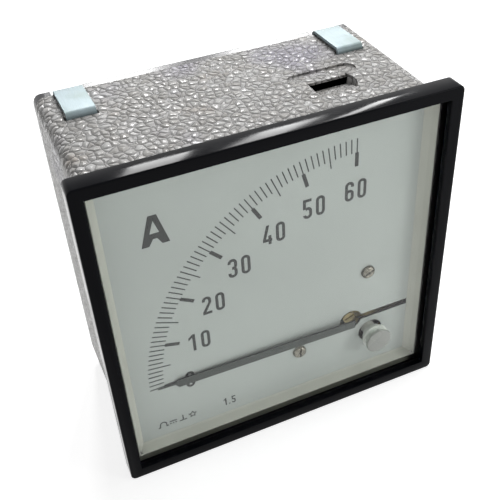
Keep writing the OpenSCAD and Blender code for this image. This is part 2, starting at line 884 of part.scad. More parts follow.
module terminal_washers() {
    color([0.8, 0.8, 0.8])
    at_studs()
        for (y = [base_back, second_washer_y])
            ring([0, 0], y, washer_t, washer_r, stud_r + stud_clear);
}

module terminal_nuts() {
    color([0.85, 0.7, 0.4])
    at_studs()
        for (y = [first_nut_y, second_nut_y])
            difference() {
                translate([0, y, 0])
                    rotate([-90, 0, 0])
                        cylinder(h = nut_t, r = nut_af / sqrt(3), $fn = 6);
                rod([0, 0], y - 1, nut_t + 2, stud_r + stud_clear);
            }
}

module solder_tags() {
    color([0.8, 0.75, 0.6])
    at_studs()
        slab(tag_front, tag_t)
            difference() {
                union() {
                    circle(r = stud_head_r);
                    translate([-tag_w / 2, -tag_len])
                        square([tag_w, tag_len]);
                }
                circle(r = stud_r + stud_clear);
            }
}

// ---- Dial ----

module dial_plate() {
    dial_side = 2 * (inner - dial_clear);
    color([0.72, 0.75, 0.73])
    difference() {
        slab(dial_front, dial_t)
            rounded_square(dial_side, case_corner_r - case_wall);
        rod(pivot, dial_front - 1, dial_t + 2, pivot_hole_r);
        translate([pivot[0], dial_front - 1, pivot[1] - dial_slot_w / 2])
            cube([dial_side, dial_t + 2, dial_slot_w]);
        rod(adjuster, dial_front - 1, dial_t + 2, adjuster_hole_r);
        for (angle = dial_post_angles)
            rod(pivot + polar(post_ring_r, angle), dial_front - 1, dial_t + 2, screw_r + screw_clear);
    }
}

module dial_print() {
    step = scale_sweep / scale_divisions;
    color([0.05, 0.05, 0.05])
    slab(dial_front - ink_t, ink_t)
        translate(pivot) {
            for (i = [0 : scale_divisions])
                rotate(180 - i * step)
                    scale_mark(i);
            for (tens = [0 : 6])
                translate(polar(digit_ring_r + digit_shift(tens), 180 - tens * 15) - [0, tens == 0 ? zero_drop : 0])
                    numeral(tens);
            translate([-unit_left - pivot[0], unit_up - pivot[1]])
                unit_letter();
            translate(-pivot)
                small_print();
        }
}

// Accuracy class and the usual signs for moving coil, direct current, upright use and test voltage
module small_print() {
    translate([-class_left, -small_print_down])
        scale(class_h / digit_h) {
            translate([-digit_pitch, 0]) digit(1);
            translate([-digit_pitch / 4, digit_stroke / 2 - digit_h / 2]) square(digit_stroke, center = true);
            translate([digit_pitch / 2, 0]) digit(5);
        }
    translate([-signs_left, -small_print_down])
        for (i = [0 : 3])
            translate([i * sign_pitch, 0])
                sign(i);
}

module sign(i) {
    side = sign_size;
    line = sign_stroke;
    if (i == 0)
        difference() {
            union() {
                circle(d = side);
                translate([-side / 2, -side / 2]) square([side, side / 2]);
                translate([-side * 0.7, -side / 2]) square([side * 1.4, line]);
            }
            circle(d = side - 2 * line);
            translate([line - side / 2, -side]) square([side - 2 * line, side]);
        }
    if (i == 1) {
        translate([-side / 2, 0]) square([side, line]);
        for (x = [-1, 0, 1])
            translate([x * side * 0.36, -2 * line]) square([side * 0.22, line], center = true);
    }
    if (i == 2) {
        translate([-side / 2, -side / 2]) square([side, line]);
        translate([-line / 2, -side / 2]) square([line, side]);
    }
    if (i == 3)
        difference() {
            star(side * 0.62);
            star(side * 0.62 - 1.6 * line);
        }
}

module star(r) {
    polygon([for (k = [0 : 9]) polar(k % 2 == 0 ? r : r * 0.5, 90 + 36 * k)]);
}

// Numerals beside the pivot stand a little further out than those above it
function digit_shift(tens) = tens == 0 ? zero_shift : side_shift * pow(cos(tens * 15), 2);

module scale_mark(i) {
    mark_len = i % 5 == 0 && i % 10 != 0 ? mark_fifth : mark_short;
    translate([scale_r - mark_len, -mark_thin / 2])
        square([mark_len, mark_thin]);
    if (i % 10 == 0)
        translate([scale_r - mark_short - mark_bar, -mark_bar_w / 2])
            square([mark_bar + hair, mark_bar_w]);
}

module numeral(tens) {
    if (tens == 0)
        digit(0);
    else {
        translate([-digit_pitch / 2, 0])
            digit(tens);
        translate([digit_pitch / 2, 0])
            digit(0);
    }
}

module pill(w, h) {
    square([w, h - w], center = true);
    for (s = [-1, 1])
        translate([0, s * (h - w) / 2])
            circle(d = w);
}

module loop(w, h) {
    difference() {
        pill(w, h);
        pill(w - 2 * digit_stroke, h - 2 * digit_stroke);
    }
}

// Upper end of a numeral: a half ring with a short tail at each side
module hook(left, right) {
    w = digit_w;
    s = digit_stroke;
    base = digit_h / 2 - w / 2;
    difference() {
        translate([0, base]) circle(d = w);
        translate([0, base]) circle(d = w - 2 * s);
        translate([-w, base - w]) square([2 * w, w]);
    }
    translate([-w / 2, base - left]) square([s, left + hair]);
    translate([w / 2 - s, base - right]) square([s, right + hair]);
}

module digit(n) {
    w = digit_w;
    h = digit_h;
    s = digit_stroke;
    bowl = h / 2 + s / 2;
    if (n == 0)
        loop(w, h);
    if (n == 1) {
        translate([0, -h / 2]) square([s, h]);
        polygon([[0, h / 2], [0, h / 2 - 1.2 * s], [-w / 2 + 0.2, h / 2 - 2.4 * s], [-w / 2 + 0.2, h / 2 - 1.3 * s]]);
    }
    if (n == 2) {
        hook(0.3, 0.9);
        polygon([[w / 2 - s, h / 2 - w / 2 - 0.8], [w / 2, h / 2 - w / 2 - 0.8],
                 [-w / 2 + 1.1 * s, s - h / 2], [-w / 2, s - h / 2]]);
        translate([-w / 2, -h / 2]) square([w, s + hair]);
    }
    if (n == 3)
        difference() {
            union() {
                for (side = [-1, 1])
                    translate([0, side * (h / 2 - bowl / 2)])
                        loop(w, bowl);
            }
            translate([-w, -h / 4]) square([w - 0.15, h / 2]);
        }
    if (n == 4) {
        polygon([[-0.2, h / 2], [0.7 * s, h / 2], [-w / 2 + s, 2 * s - h / 2], [-w / 2, 2 * s - h / 2]]);
        translate([-w / 2, 1.1 * s - h / 2]) square([w, s]);
        translate([0.25, -h / 2]) square([s, h * 0.46]);
    }
    if (n == 5) {
        translate([-w / 2, h / 2 - s]) square([w * 0.94, s]);
        translate([-w / 2, 0]) square([s, h / 2]);
        difference() {
            translate([0, bowl * 0.52 - h / 2])
                loop(w, bowl * 1.04);
            translate([-w / 2 - 0.1, -h * 0.3]) square([s + 0.1, h * 0.3]);
        }
    }
    if (n == 6) {
        hook(1.8, 0.4);
        translate([-w / 2, -h / 4]) square([s, h / 2]);
        translate([0, bowl * 0.52 - h / 2])
            loop(w, bowl * 1.04);
    }
}

module unit_letter() {
    foot = unit_stroke * 1.1;
    top = unit_stroke * 0.62;
    difference() {
        polygon([[-unit_w / 2, -unit_h / 2], [-top, unit_h / 2], [top, unit_h / 2], [unit_w / 2, -unit_h / 2]]);
        polygon([[foot - unit_w / 2, -unit_h / 2 - hair], [-0.3 * unit_stroke, -unit_h * 0.28],
                 [0.3 * unit_stroke, -unit_h * 0.28], [unit_w / 2 - foot, -unit_h / 2 - hair]]);
        polygon([[-unit_w * 0.17, -unit_h * 0.1], [0, unit_h * 0.32], [unit_w * 0.17, -unit_h * 0.1]]);
    }
}

module dial_screws() {
    color([0.75, 0.73, 0.7])
    for (i = [0, 1]) {
        at = pivot + polar(post_ring_r, dial_post_angles[i]);
        screw_front(at, dial_front, screw_len, [25, 85][i]);
    }
}

// ---- Fixed parts of the movement ----

module movement_frame() {
    color([0.62, 0.62, 0.6])
    difference() {
        union() {
            slab(core_back, frame_t)
                translate(pivot)
                    frame_outline();
            for (angle = dial_post_angles)
                rod(pivot + polar(post_ring_r, angle), dial_back, core_back - dial_back + frame_t / 2, post_r);
            for (angle = pillar_angles)
                rod(pivot + polar(post_ring_r, angle), bridge_back + insulator_t,
                    core_back - bridge_back - insulator_t + frame_t / 2, pillar_r);
            slab(core_front, core_len)
                translate(pivot)
                    core_ribs(ring_in);
        }
        screw_holes();
    }
}

// Plate of the frame: a ring with lugs, and the roots of the core's ribs in its bore
module frame_outline() {
    difference() {
        union() {
            circle(r = ring_out + 0.3);
            for (angle = concat(pillar_angles, dial_post_angles))
                frame_lug(angle, post_ring_r);
            for (angle = base_pillar_angles)
                frame_lug(angle, base_ring_r);
        }
        difference() {
            circle(r = frame_in);
            core_ribs(2 * frame_in);
        }
    }
}

module frame_lug(angle, reach) {
    rotate(angle) {
        translate([frame_in + 1, -base_pillar_r])
            square([reach - frame_in - 1, 2 * base_pillar_r]);
        translate([reach, 0])
            circle(r = base_pillar_r);
    }
}

// Sections of the ribs that carry the core magnet in the air gap
module core_ribs(r_out) {
    rise = r_out * 2 * tan(rib_half_angle);
    difference() {
        intersection() {
            circle(r = r_out);
            for (angle = rib_angles)
                rotate(angle)
                    polygon([[0, 0], [2 * r_out, rise], [2 * r_out, -rise]]);
        }
        circle(r = core_r);
    }
}

module screw_holes() {
    hole_r = screw_r + screw_clear;
    for (angle = dial_post_angles)
        rod(pivot + polar(post_ring_r, angle), dial_back - 1, screw_len - dial_t + 1.5, hole_r);
    for (angle = pillar_angles)
        rod(pivot + polar(post_ring_r, angle), bridge_front, screw_len + 0.5, hole_r);
    for (angle = base_pillar_angles)
        rod(pivot + polar(base_ring_r, angle), core_back - 1, frame_t + 2, hole_r);
    for (angle = yoke_screw_angles)
        rod(pivot + polar(ring_in + yoke_wall / 2, angle), core_back - 1, frame_t + 2, hole_r);
    for (angle = rear_bridge_angles)
        rod(pivot + polar(rear_bridge_leg_r, angle), core_back - 1, frame_t + 2, hole_r);
}

module frame_screws() {
    color([0.75, 0.73, 0.7])
    for (angle = base_pillar_angles)
        screw_front(pivot + polar(base_ring_r, angle), core_back, screw_len, 30);
}

module yoke_ring() {
    color([0.45, 0.46, 0.48])
    difference() {
        ring(pivot, core_front, core_len, ring_out, ring_in);
        for (angle = yoke_screw_angles)
            rod(pivot + polar(ring_in + yoke_wall / 2, angle), core_front - 1, core_len + 2, screw_r + screw_clear);
    }
}

module yoke_screws() {
    color([0.75, 0.73, 0.7])
    for (angle = yoke_screw_angles)
        screw_front(pivot + polar(ring_in + yoke_wall / 2, angle), core_front, core_len + frame_t - 0.5, 60);
}

module core_magnet() {
    color([0.35, 0.35, 0.37])
    rod(pivot, core_front, core_len, core_r);
}

module bridge_insulators() {
    color([0.5, 0.2, 0.1])
    for (angle = pillar_angles)
        ring(pivot + polar(post_ring_r, angle), bridge_back, insulator_t, pillar_r, screw_r + screw_clear);
}

module front_bridge() {
    color([0.8, 0.65, 0.35])
    difference() {
        slab(bridge_front, bridge_t)
            translate(pivot) {
                circle(r = lever_ring_r);
                for (angle = pillar_angles)
                    rotate(angle) {
                        square_arm(post_ring_r);
                        translate([post_ring_r, 0])
                            circle(r = pillar_r);
                    }
                rotate(adjuster_angle)
                    bridge_web();
            }
        rod(pivot, bridge_front - 1, bridge_t + 2, jewel_screw_r + screw_clear);
        for (angle = pillar_angles)
            rod(pivot + polar(post_ring_r, angle), bridge_front - 1, bridge_t + 2, screw_r + screw_clear);
    }
}

module square_arm(reach) {
    waist = min(bridge_w, 2 * lever_ring_r) / 2;
    polygon([[0, -waist * 0.9], [reach, -bridge_w / 2], [reach, bridge_w / 2], [0, waist * 0.9]]);
}

// Curved web that ties the two arms together behind the fork
module bridge_web() {
    spread = (pillar_angles[1] - pillar_angles[0]) / 2;
    difference() {
        intersection() {
            circle(r = post_ring_r);
            polygon([[0, 0], post_ring_r * 2 * [cos(spread), sin(spread)],
                     post_ring_r * 2 * [cos(spread), -sin(spread)]]);
        }
        circle(r = post_ring_r - bridge_w / 2);
    }
}

module bridge_screws() {
    color([0.75, 0.73, 0.7])
    for (angle = pillar_angles)
        screw_front(pivot + polar(post_ring_r, angle), bridge_front, screw_len, 10);
}

module front_jewel_screw() {
    color([0.8, 0.65, 0.35])
    difference() {
        union() {
            rod(pivot, head_front, jewel_head_h, jewel_head_r);
            rod(pivot, head_back - hair, jewel_back - head_back + hair, jewel_screw_r);
        }
        place(pivot, 20)
            translate([-3, head_front - 1, -slot_w / 2])
                cube([6, 1 + jewel_head_h / 2, slot_w]);
        rod(pivot, jewel_back - jewel_h, jewel_h + 1, jewel_r);
    }
}

module rear_bridge() {
    color([0.8, 0.65, 0.35])
    difference() {
        union() {
            for (angle = rear_bridge_angles)
                place(pivot, angle) {
                    slab(frame_back, rear_bridge_front - frame_back + hair)
                        translate([rear_bridge_leg_r, 0])
                            circle(r = rear_leg_r);
                    slab(rear_bridge_front, bridge_t) {
                        translate([0, -rear_leg_r])
                            square([rear_bridge_leg_r, 2 * rear_leg_r]);
                        translate([rear_bridge_leg_r, 0])
                            circle(r = rear_leg_r);
                    }
                }
            place(pivot, rear_tail_angle) {
                slab(rear_bridge_front, bridge_t)
                    translate([0, -lever_w / 2])
                        square([spring_r + tail_post_t, lever_w]);
                slab(rear_spring_front, rear_bridge_front - rear_spring_front + hair)
                    translate([spring_r, -lever_w / 2])
                        square([tail_post_t, lever_w]);
            }
        }
        rod(pivot, rear_bridge_front - 1, bridge_t + 2, jewel_screw_r + screw_clear);
        for (angle = rear_bridge_angles)
            rod(pivot + polar(rear_bridge_leg_r, angle), frame_back - 1, 40, screw_r + screw_clear);
    }
}

module rear_bridge_screws() {
    color([0.75, 0.73, 0.7])
    for (angle = rear_bridge_angles)
        mirror_y(rear_bridge_back)
            screw_front(pivot + polar(rear_bridge_leg_r, angle), 0, rear_bridge_back - core_back, 0);
}

// Turns a part that is drawn from the front at y = 0 to face the back at y
module mirror_y(y) {
    translate([0, y, 0])
        mirror([0, 1, 0])
            children();
}

module rear_jewel_screw() {
    reach = rear_bridge_back - rear_jewel_front;
    color([0.8, 0.65, 0.35])
    difference() {
        mirror_y(rear_bridge_back)
            difference() {
                union() {
                    rod(pivot, -jewel_head_h, jewel_head_h, jewel_head_r);
                    rod(pivot, -hair, reach + hair, jewel_screw_r);
                }
                place(pivot, 20)
                    translate([-3, -jewel_head_h - 1, -slot_w / 2])
                        cube([6, 1 + jewel_head_h / 2, slot_w]);
            }
        rod(pivot, rear_jewel_front - 1, jewel_h + 1, jewel_r);
    }
}

module jewels() {
    bore_r = pivot_r + pivot_clear;
    color([0.8, 0.1, 0.2])
    for (y = [jewel_back - jewel_h, rear_jewel_front])
        difference() {
            rod(pivot, y, jewel_h, jewel_r);
            if (y < core_front)
                rod(pivot, y + jewel_h - pivot_reach - 0.1, pivot_reach + 1.1, bore_r);
            else
                rod(pivot, y - 1, pivot_reach + 1.1, bore_r);
        }
}

// ---- Zero setting ----

module lever_washer() {
    color([0.7, 0.6, 0.4])
    ring(pivot, head_back, lever_washer_t, jewel_head_r, jewel_screw_r + screw_clear);
}

module zero_lever() {
    pin_dist = adjuster_dist - eccentric;
    slot_half = eccentric_r + fork_clear;
    fork_start = pin_dist - eccentric_r - 0.6;
    fork_end = pin_dist + eccentric_r + 0.3;
    color([0.8, 0.65, 0.35])
    union() {
        difference() {
            slab(lever_front, lever_t)
                translate(pivot) {
                    circle(r = lever_ring_r);
                    rotate(adjuster_angle) {
                        translate([0, -lever_w / 2])
                            square([fork_start, lever_w]);
                        translate([fork_start - prong_w, -slot_half - prong_w])
                            square([fork_end - fork_start + prong_w, 2 * (slot_half + prong_w)]);
                    }
                    rotate(lever_tail_angle)
                        translate([0, -lever_w / 2])
                            square([spring_r + tail_post_t, lever_w]);
                }
            rod(pivot, lever_front - 1, lever_t + 2, jewel_screw_r + pivot_clear);
            place(pivot, adjuster_angle)
                translate([fork_start, lever_front - 1, -slot_half])
                    cube([10, lever_t + 2, 2 * slot_half]);
        }
        place(pivot, lever_tail_angle)
            slab(lever_front, spring_back - lever_front)
                translate([spring_r, -lever_w / 2])
                    square([tail_post_t, lever_w]);
    }
}

function spiral(r_in, r_out, turns, end_angle, offset) = [
    for (i = [0 : turns * 24])
        let (t = i / (turns * 24), r = r_in + (r_out - r_in) * t + offset)
            polar(r, end_angle - 360 * turns * (1 - t))
];

function reversed(points) = [for (i = [len(points) - 1 : -1 : 0]) points[i]];

module hairspring(y, end_angle) {
    inner_r = collet_r + spring_gap + spring_t / 2;
    outer_r = spring_r - spring_t / 2;
    slab(y, spring_h)
        translate(pivot)
            polygon(concat(spiral(inner_r, outer_r, spring_turns, end_angle, spring_t / 2),
                           reversed(spiral(inner_r, outer_r, spring_turns, end_angle, -spring_t / 2))));
}

module front_hairspring() {
    color([0.75, 0.55, 0.3])
    hairspring(spring_front, lever_tail_angle);
}

module rear_hairspring() {
    color([0.75, 0.55, 0.3])
    hairspring(rear_spring_front, rear_tail_angle);
}

module zero_adjuster() {
    head_seat = glass_front - lever_clear;
    pin_at = pivot + polar(adjuster_dist - eccentric, adjuster_angle);
    color([0.9, 0.9, 0.87])
    difference() {
        union() {
            rod(adjuster, head_seat - adjuster_head_t, adjuster_head_t, adjuster_head_r);
            rod(adjuster, head_seat - hair, dial_front - adjuster_stand - head_seat + hair, adjuster_r);
            rod(adjuster, dial_front - adjuster_stand - hair, adjuster_end - dial_front + adjuster_stand + hair, adjuster_stem_r);
            rod(pin_at, adjuster_end - hair, lever_back - adjuster_end + hair, eccentric_r);
        }
        place(adjuster, adjuster_angle)
            translate([-5, head_seat - adjuster_head_t - 1, -adjuster_slot_w / 2])
                cube([10, 1.3, adjuster_slot_w]);
    }
}

module adjuster_clip() {
    color([0.7, 0.7, 0.7])
    ring(adjuster, glass_back + lever_clear, adjuster_clip_t, adjuster_r + adjuster_clip_w, adjuster_r);
}

// ---- Turning parts ----

module front_staff() {
    pivot_tip = jewel_back - pivot_reach;
    color([0.75, 0.75, 0.78])
    union() {
        rod(pivot, pivot_tip, pivot_reach + 0.3, pivot_r);
        rod(pivot, jewel_back + 0.15, coil_front - jewel_back - 0.15, staff_r);
        rod(pivot, spring_front - collet_lead, spring_h + 2 * collet_lead, collet_r);
        rod(pivot, coil_front - staff_foot_t, staff_foot_t, staff_foot_r);
    }
}

module rear_staff() {
    color([0.75, 0.75, 0.78])
    union() {
        rod(pivot, rear_jewel_front - 0.3, pivot_reach + 0.3, pivot_r);
        rod(pivot, coil_back, rear_jewel_front - coil_back - 0.15, staff_r);
        rod(pivot, rear_spring_front - collet_lead, spring_h + 2 * collet_lead, collet_r);
        rod(pivot, coil_back, staff_foot_t, staff_foot_r);
    }
}

// Rectangular loop round the core magnet, drawn upright and turned to rest
module coil_loop(r_out, r_in, width, y_out, y_in) {
    place(pivot, coil_rest_angle)
        difference() {
            translate([-r_out, y_out, -width / 2])
                cube([2 * r_out, coil_front + coil_back - 2 * y_out, width]);
            translate([-r_in, y_in, -width / 2 - 1])
                cube([2 * r_in, coil_front + coil_back - 2 * y_in, width + 2]);
        }
}

module coil_former() {
    color([0.8, 0.8, 0.82])
    coil_loop(former_out, former_in, former_w, coil_front + winding_t, coil_front + wire_turn_t);
}

module coil_winding() {
    color([0.7, 0.35, 0.15])
    coil_loop(winding_out, former_out, winding_w, coil_front, coil_front + winding_t);
}

module pointer() {
    bar_end = pointer_len - pointer_tip_len;
    color([0.2, 0.22, 0.2])
    place(pivot, 180)
        union() {
            translate([0, pointer_back, 0])
                rotate([0, 0, pointer_lean]) {
                    slab(-pointer_t, pointer_t)
                        translate([-pointer_heel, -pointer_w / 2])
                            square([bar_end + pointer_heel, pointer_w]);
                    slab(-pointer_tip_t, pointer_tip_t)
                        polygon([[bar_end - 2, -pointer_w / 2], [bar_end - hair, -pointer_w / 2],
                                 [bar_end + 0.8, -pointer_tip_w / 2], [pointer_len, -pointer_tip_w / 4],
                                 [pointer_len, pointer_tip_w / 4], [bar_end + 0.8, pointer_tip_w / 2],
                                 [bar_end - hair, pointer_w / 2], [bar_end - 2, pointer_w / 2]]);
                }
            translate([leg_r, pointer_back - pointer_t / 2, -leg_w / 2])
                cube([leg_t, hub_front + leg_t - pointer_back + pointer_t / 2, leg_w]);
            translate([hub_r, hub_front, -leg_w / 2])
                cube([leg_r + leg_t - hub_r, leg_t, leg_w]);
        }
}

module pointer_hub() {
    arm_y = hub_back - arm_r - 0.1;
    color([0.8, 0.65, 0.35])
    difference() {
        union() {
            rod(pivot, hub_front, hub_h, hub_r);
            for (turn = [0, 90, 270])
                place(pivot, turn)
                    translate([0, arm_y, 0])
                        rotate([0, 90, 0])
                            cylinder(h = arm_len, r = arm_r);
        }
        rod(pivot, hub_front - 1, hub_h + 2, staff_r);
    }
}

module balance_weights() {
    arm_y = hub_back - arm_r - 0.1;
    color([0.8, 0.65, 0.35])
    for (turn = [0, 90, 270])
        place(pivot, turn)
            translate([arm_len - weight_len - 0.3, arm_y, 0])
                rotate([0, 90, 0])
                    difference() {
                        cylinder(h = weight_len, r = weight_r);
                        translate([0, 0, -1])
                            cylinder(h = weight_len + 2, r = arm_r);
                    }
}

// ---- Series resistor and wires ----

module resistor_bobbin() {
    front = case_len - bobbin_len;
    color([0.45, 0.25, 0.12])
    difference() {
        union() {
            rod(resistor, front, bobbin_len, bobbin_core_r);
            rod(resistor, front, bobbin_flange_t, bobbin_r);
            rod(resistor, case_len - bobbin_flange_t, bobbin_flange_t, bobbin_r);
        }
        rod(resistor, front - 1, bobbin_len + 2, screw_r + screw_clear);
    }
}

module resistor_winding() {
    color([0.3, 0.32, 0.2])
    ring(resistor, case_len - bobbin_len + bobbin_flange_t, bobbin_len - 2 * bobbin_flange_t,
         resistor_winding_r, bobbin_core_r);
}

module resistor_screw() {
    color([0.75, 0.73, 0.7])
    screw_front(resistor, case_len - bobbin_len, bobbin_len + base_t - 1.2, 40);
}

module hookup_wires() {
    bridge_mid = bridge_front + bridge_t / 2;
    tag_y = tag_front - wire_r;
    tag_z = stud_z - tag_len + 1;
    edge = resistor_winding_r + wire_r;
    foot = pivot + polar(post_ring_r, pillar_angles[0]);
    rear_foot = pivot + polar(rear_bridge_leg_r - 4, rear_bridge_angles[0]);
    color([0.6, 0.1, 0.1])
    wire([[-stud_pitch / 2, tag_y, tag_z], [-stud_pitch / 2, tag_y - 2, tag_z - wire_drop],
          [resistor[0], case_len - 4, resistor[1] + edge]], [1, 0, 0]);
    color([0.1, 0.2, 0.6])
    wire(concat([[resistor[0] + edge, case_len - wire_entry_back, resistor[1]]], wire_points,
                [[foot[0] - wire_run_in, bridge_mid, foot[1]],
                 [foot[0] - pillar_r - wire_touch, bridge_mid, foot[1]]]), [0.3, 0.4, 1]);
    color([0.1, 0.1, 0.1])
    wire([[stud_pitch / 2, tag_y, tag_z], [stud_pitch / 2 + 1, tag_y - 2, tag_z - wire_drop - 2],
          [rear_foot[0], rear_bridge_back + wire_r + 2 * wire_touch, rear_foot[1] + 2],
          [rear_foot[0], rear_bridge_back + wire_r + wire_touch, rear_foot[1]]], [1, 0, 0]);
}

bezel_frame();
window_gasket();
front_glass();
dial_liner();
case_shell();
base_plate();
retaining_clips();
terminal_studs();
terminal_washers();
terminal_nuts();
solder_tags();
dial_plate();
dial_print();
dial_screws();
movement_frame();
frame_screws();
yoke_ring();
yoke_screws();
core_magnet();
bridge_insulators();
front_bridge();
bridge_screws();
front_jewel_screw();
rear_bridge();
rear_bridge_screws();
rear_jewel_screw();
jewels();
lever_washer();
zero_lever();
front_hairspring();
rear_hairspring();
front_staff();
rear_staff();
coil_former();
coil_winding();
pointer();
pointer_hub();
balance_weights();
zero_adjuster();
adjuster_clip();
resistor_bobbin();
resistor_winding();
resistor_screw();
hookup_wires();
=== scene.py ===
"""Dresses a square moving-coil panel meter: finishes, detailed trim and fasteners."""

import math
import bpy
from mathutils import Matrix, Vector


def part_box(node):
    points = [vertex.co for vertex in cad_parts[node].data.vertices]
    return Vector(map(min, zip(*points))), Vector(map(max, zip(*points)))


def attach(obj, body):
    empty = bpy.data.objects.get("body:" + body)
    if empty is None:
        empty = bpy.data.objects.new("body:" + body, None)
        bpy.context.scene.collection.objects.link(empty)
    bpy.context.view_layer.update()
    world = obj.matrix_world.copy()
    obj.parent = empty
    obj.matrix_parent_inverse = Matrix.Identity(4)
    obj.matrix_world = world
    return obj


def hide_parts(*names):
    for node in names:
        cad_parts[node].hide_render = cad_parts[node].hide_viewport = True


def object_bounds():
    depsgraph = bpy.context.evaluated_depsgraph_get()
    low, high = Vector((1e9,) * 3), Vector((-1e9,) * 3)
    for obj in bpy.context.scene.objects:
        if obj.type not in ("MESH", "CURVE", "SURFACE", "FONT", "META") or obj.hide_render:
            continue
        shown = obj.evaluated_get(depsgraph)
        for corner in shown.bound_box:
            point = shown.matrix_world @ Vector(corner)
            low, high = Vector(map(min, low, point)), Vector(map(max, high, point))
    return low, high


bl_info = {
    "name": "Panel Meter",
    "version": (1, 0, 0),
    "blender": (4, 5, 0),
    "location": "View3D > Sidebar > Panel Meter",
    "description": "Builds the trim, fasteners and finishes of a square moving-coil panel meter",
    "category": "Object",
}

import bmesh
import bpy
from bpy.props import FloatProperty, FloatVectorProperty, PointerProperty
from mathutils import Matrix, Vector

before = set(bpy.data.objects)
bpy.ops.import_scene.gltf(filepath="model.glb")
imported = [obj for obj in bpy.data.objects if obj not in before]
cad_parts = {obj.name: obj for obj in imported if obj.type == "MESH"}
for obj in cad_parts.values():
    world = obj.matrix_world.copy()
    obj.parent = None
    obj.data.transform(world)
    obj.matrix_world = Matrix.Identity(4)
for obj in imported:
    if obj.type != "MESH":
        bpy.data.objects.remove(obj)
CAD_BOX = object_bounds()
MM = 0.001


# ---- Places taken from the frame ----


def middle(node):
    """Middle of a node's box at rest."""
    low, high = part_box(node)
    return (low + high) / 2


PIVOT = middle("front_jewel_screw")
DIAL_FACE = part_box("dial_plate")[0].y
ADJUSTER = middle("adjuster_clip")


# ---- Values that a user may change ----


def colour(name, description, value):
    """Colour property."""
    return FloatVectorProperty(
        name=name, description=description, default=value, subtype="COLOR", min=0, max=1
    )


def length(name, description, value):
    """Length property, given in millimetres and kept in metres."""
    return FloatProperty(
        name=name, description=description, default=value * MM, unit="LENGTH", min=0
    )


class MeterColours(bpy.types.PropertyGroup):
    """Colours of the meter's finishes."""

    enamel: colour("Case enamel", "Crown of the hammered enamel", (0.42, 0.405, 0.385))
    enamel_pale: colour("Pale enamel", "Paler crowns of the enamel", (0.74, 0.74, 0.74))
    # Painted shade: this near black darkens the enamel's low places as if in shadow.
    enamel_groove_shade: colour("Enamel groove", "Low places of the enamel", (0.085, 0.083, 0.08))
    enamel_warm: colour("Enamel bloom", "Warm patches in the enamel", (0.50, 0.45, 0.40))
    enamel_cool: colour("Enamel cast", "Violet patches in the enamel", (0.40, 0.38, 0.46))
    bezel: colour("Bezel", "Gloss moulding of the bezel", (0.0014, 0.0018, 0.004))
    base: colour("Base plate", "Phenolic base plate", (0.012, 0.012, 0.016))
    rubber: colour("Gasket", "Rubber of the window gasket", (0.02, 0.02, 0.02))
    dial: colour("Dial", "Satin paint of the dial", (0.345, 0.37, 0.353))
    # Painted shade: this near black goes on the dial plate's cut edges and back, so its slot and
    # holes look shadowed.
    dial_edge_shade: colour("Dial edge", "Cut edges of the dial plate", (0.03, 0.028, 0.024))
    ink: colour("Dial ink", "Printing ink of the scale", (0.012, 0.013, 0.013))
    liner: colour("Liner", "Satin moulding round the dial", (0.43, 0.435, 0.385))
    pointer: colour("Pointer", "Enamel of the pointer", (0.03, 0.036, 0.033))
    adjuster: colour("Zero adjuster", "Polished plastic of the zero adjuster", (0.66, 0.69, 0.64))
    zinc: colour("Clips", "Bright zinc plate", (0.38, 0.47, 0.50))
    zinc_tint: colour("Clip tint", "Greenish passivated patches of the zinc", (0.30, 0.38, 0.38))
    nickel: colour("Nickel", "Dull nickel plate of the screws", (0.24, 0.225, 0.19))
    brass: colour("Brass", "Turned brass", (0.72, 0.52, 0.24))
    brass_dull: colour("Dull brass", "Sheet brass that has darkened", (0.40, 0.33, 0.18))
    copper: colour("Winding", "Enamelled copper wire", (0.50, 0.16, 0.06))


class MeterTrim(bpy.types.PropertyGroup):
    """Sizes of the detail that the trim and fasteners get."""

    lip: length("Bezel lip", "Width of the bezel's front face beside the window", 3.3)
    lip_depth: length("Lip depth", "Thickness of the bezel's front lip", 1.8)
    rim: length("Bezel rim", "Thickness of the bezel's rim round the glass", 1.85)
    corner: length("Bezel corner", "Radius of the bezel's outer corners", 1.5)
    edge: length("Bezel edge", "Radius along the bezel's front outer edge", 0.4)
    break_edge: length("Broken edge", "Small radius of the other moulded edges", 0.15)
    clip_width: length("Clip width", "Width of a spring clip", 7.4)
    clip_sheet: length("Clip sheet", "Thickness of a spring clip", 0.8)
    clip_bend: length("Clip bend", "Outer radius of a clip's bend above its hook", 1.2)
    clip_back_bend: length("Clip back bend", "Outer radius of a clip's rear bend", 1.9)
    clip_fall: length("Clip fall", "Fall of a clip from its hook to the back", 0.3)
    clip_hook: length("Clip hook", "Reach of a clip's hook below the case's top", 1.9)
    clip_tail: length("Clip tail", "Reach of a clip's tail below the base plate's top", 4)
    screw_head: length("Screw head", "Radius of a dial screw's head", 2)
    screw_shank: length("Screw shank", "Radius of a dial screw's shank", 1)
    screw_slot: length("Screw slot", "Width of a dial screw's slot", 0.5)
    stud: length("Stud", "Radius of a terminal stud", 2)
    thread: length("Thread depth", "Depth of a stud's thread", 0.35)
    thread_pitch: length("Thread pitch", "Pitch of a stud's thread", 0.7)
    washer: length("Washer", "Thickness of a terminal washer", 0.8)
    adjuster_head: length("Adjuster head", "Thickness of the zero adjuster's head", 0.5)
    adjuster_shaft: length("Adjuster shaft", "Radius of the zero adjuster's shaft", 3.1)
    adjuster_stem: length("Adjuster stem", "Radius of the zero adjuster's stem", 2.1)
    adjuster_stand: length("Adjuster stand", "Gap between the adjuster's shaft and the dial", 1)
    adjuster_gap: length("Adjuster gap", "Gap between the adjuster's stem and the lever", 0.5)
    adjuster_pin: length("Adjuster pin", "Radius of the adjuster's eccentric pin", 0.8)
    adjuster_throw: length("Adjuster throw", "Offset of the adjuster's eccentric pin", 1.2)
    adjuster_slot: length("Adjuster slot", "Width of the adjuster's slot", 0.9)


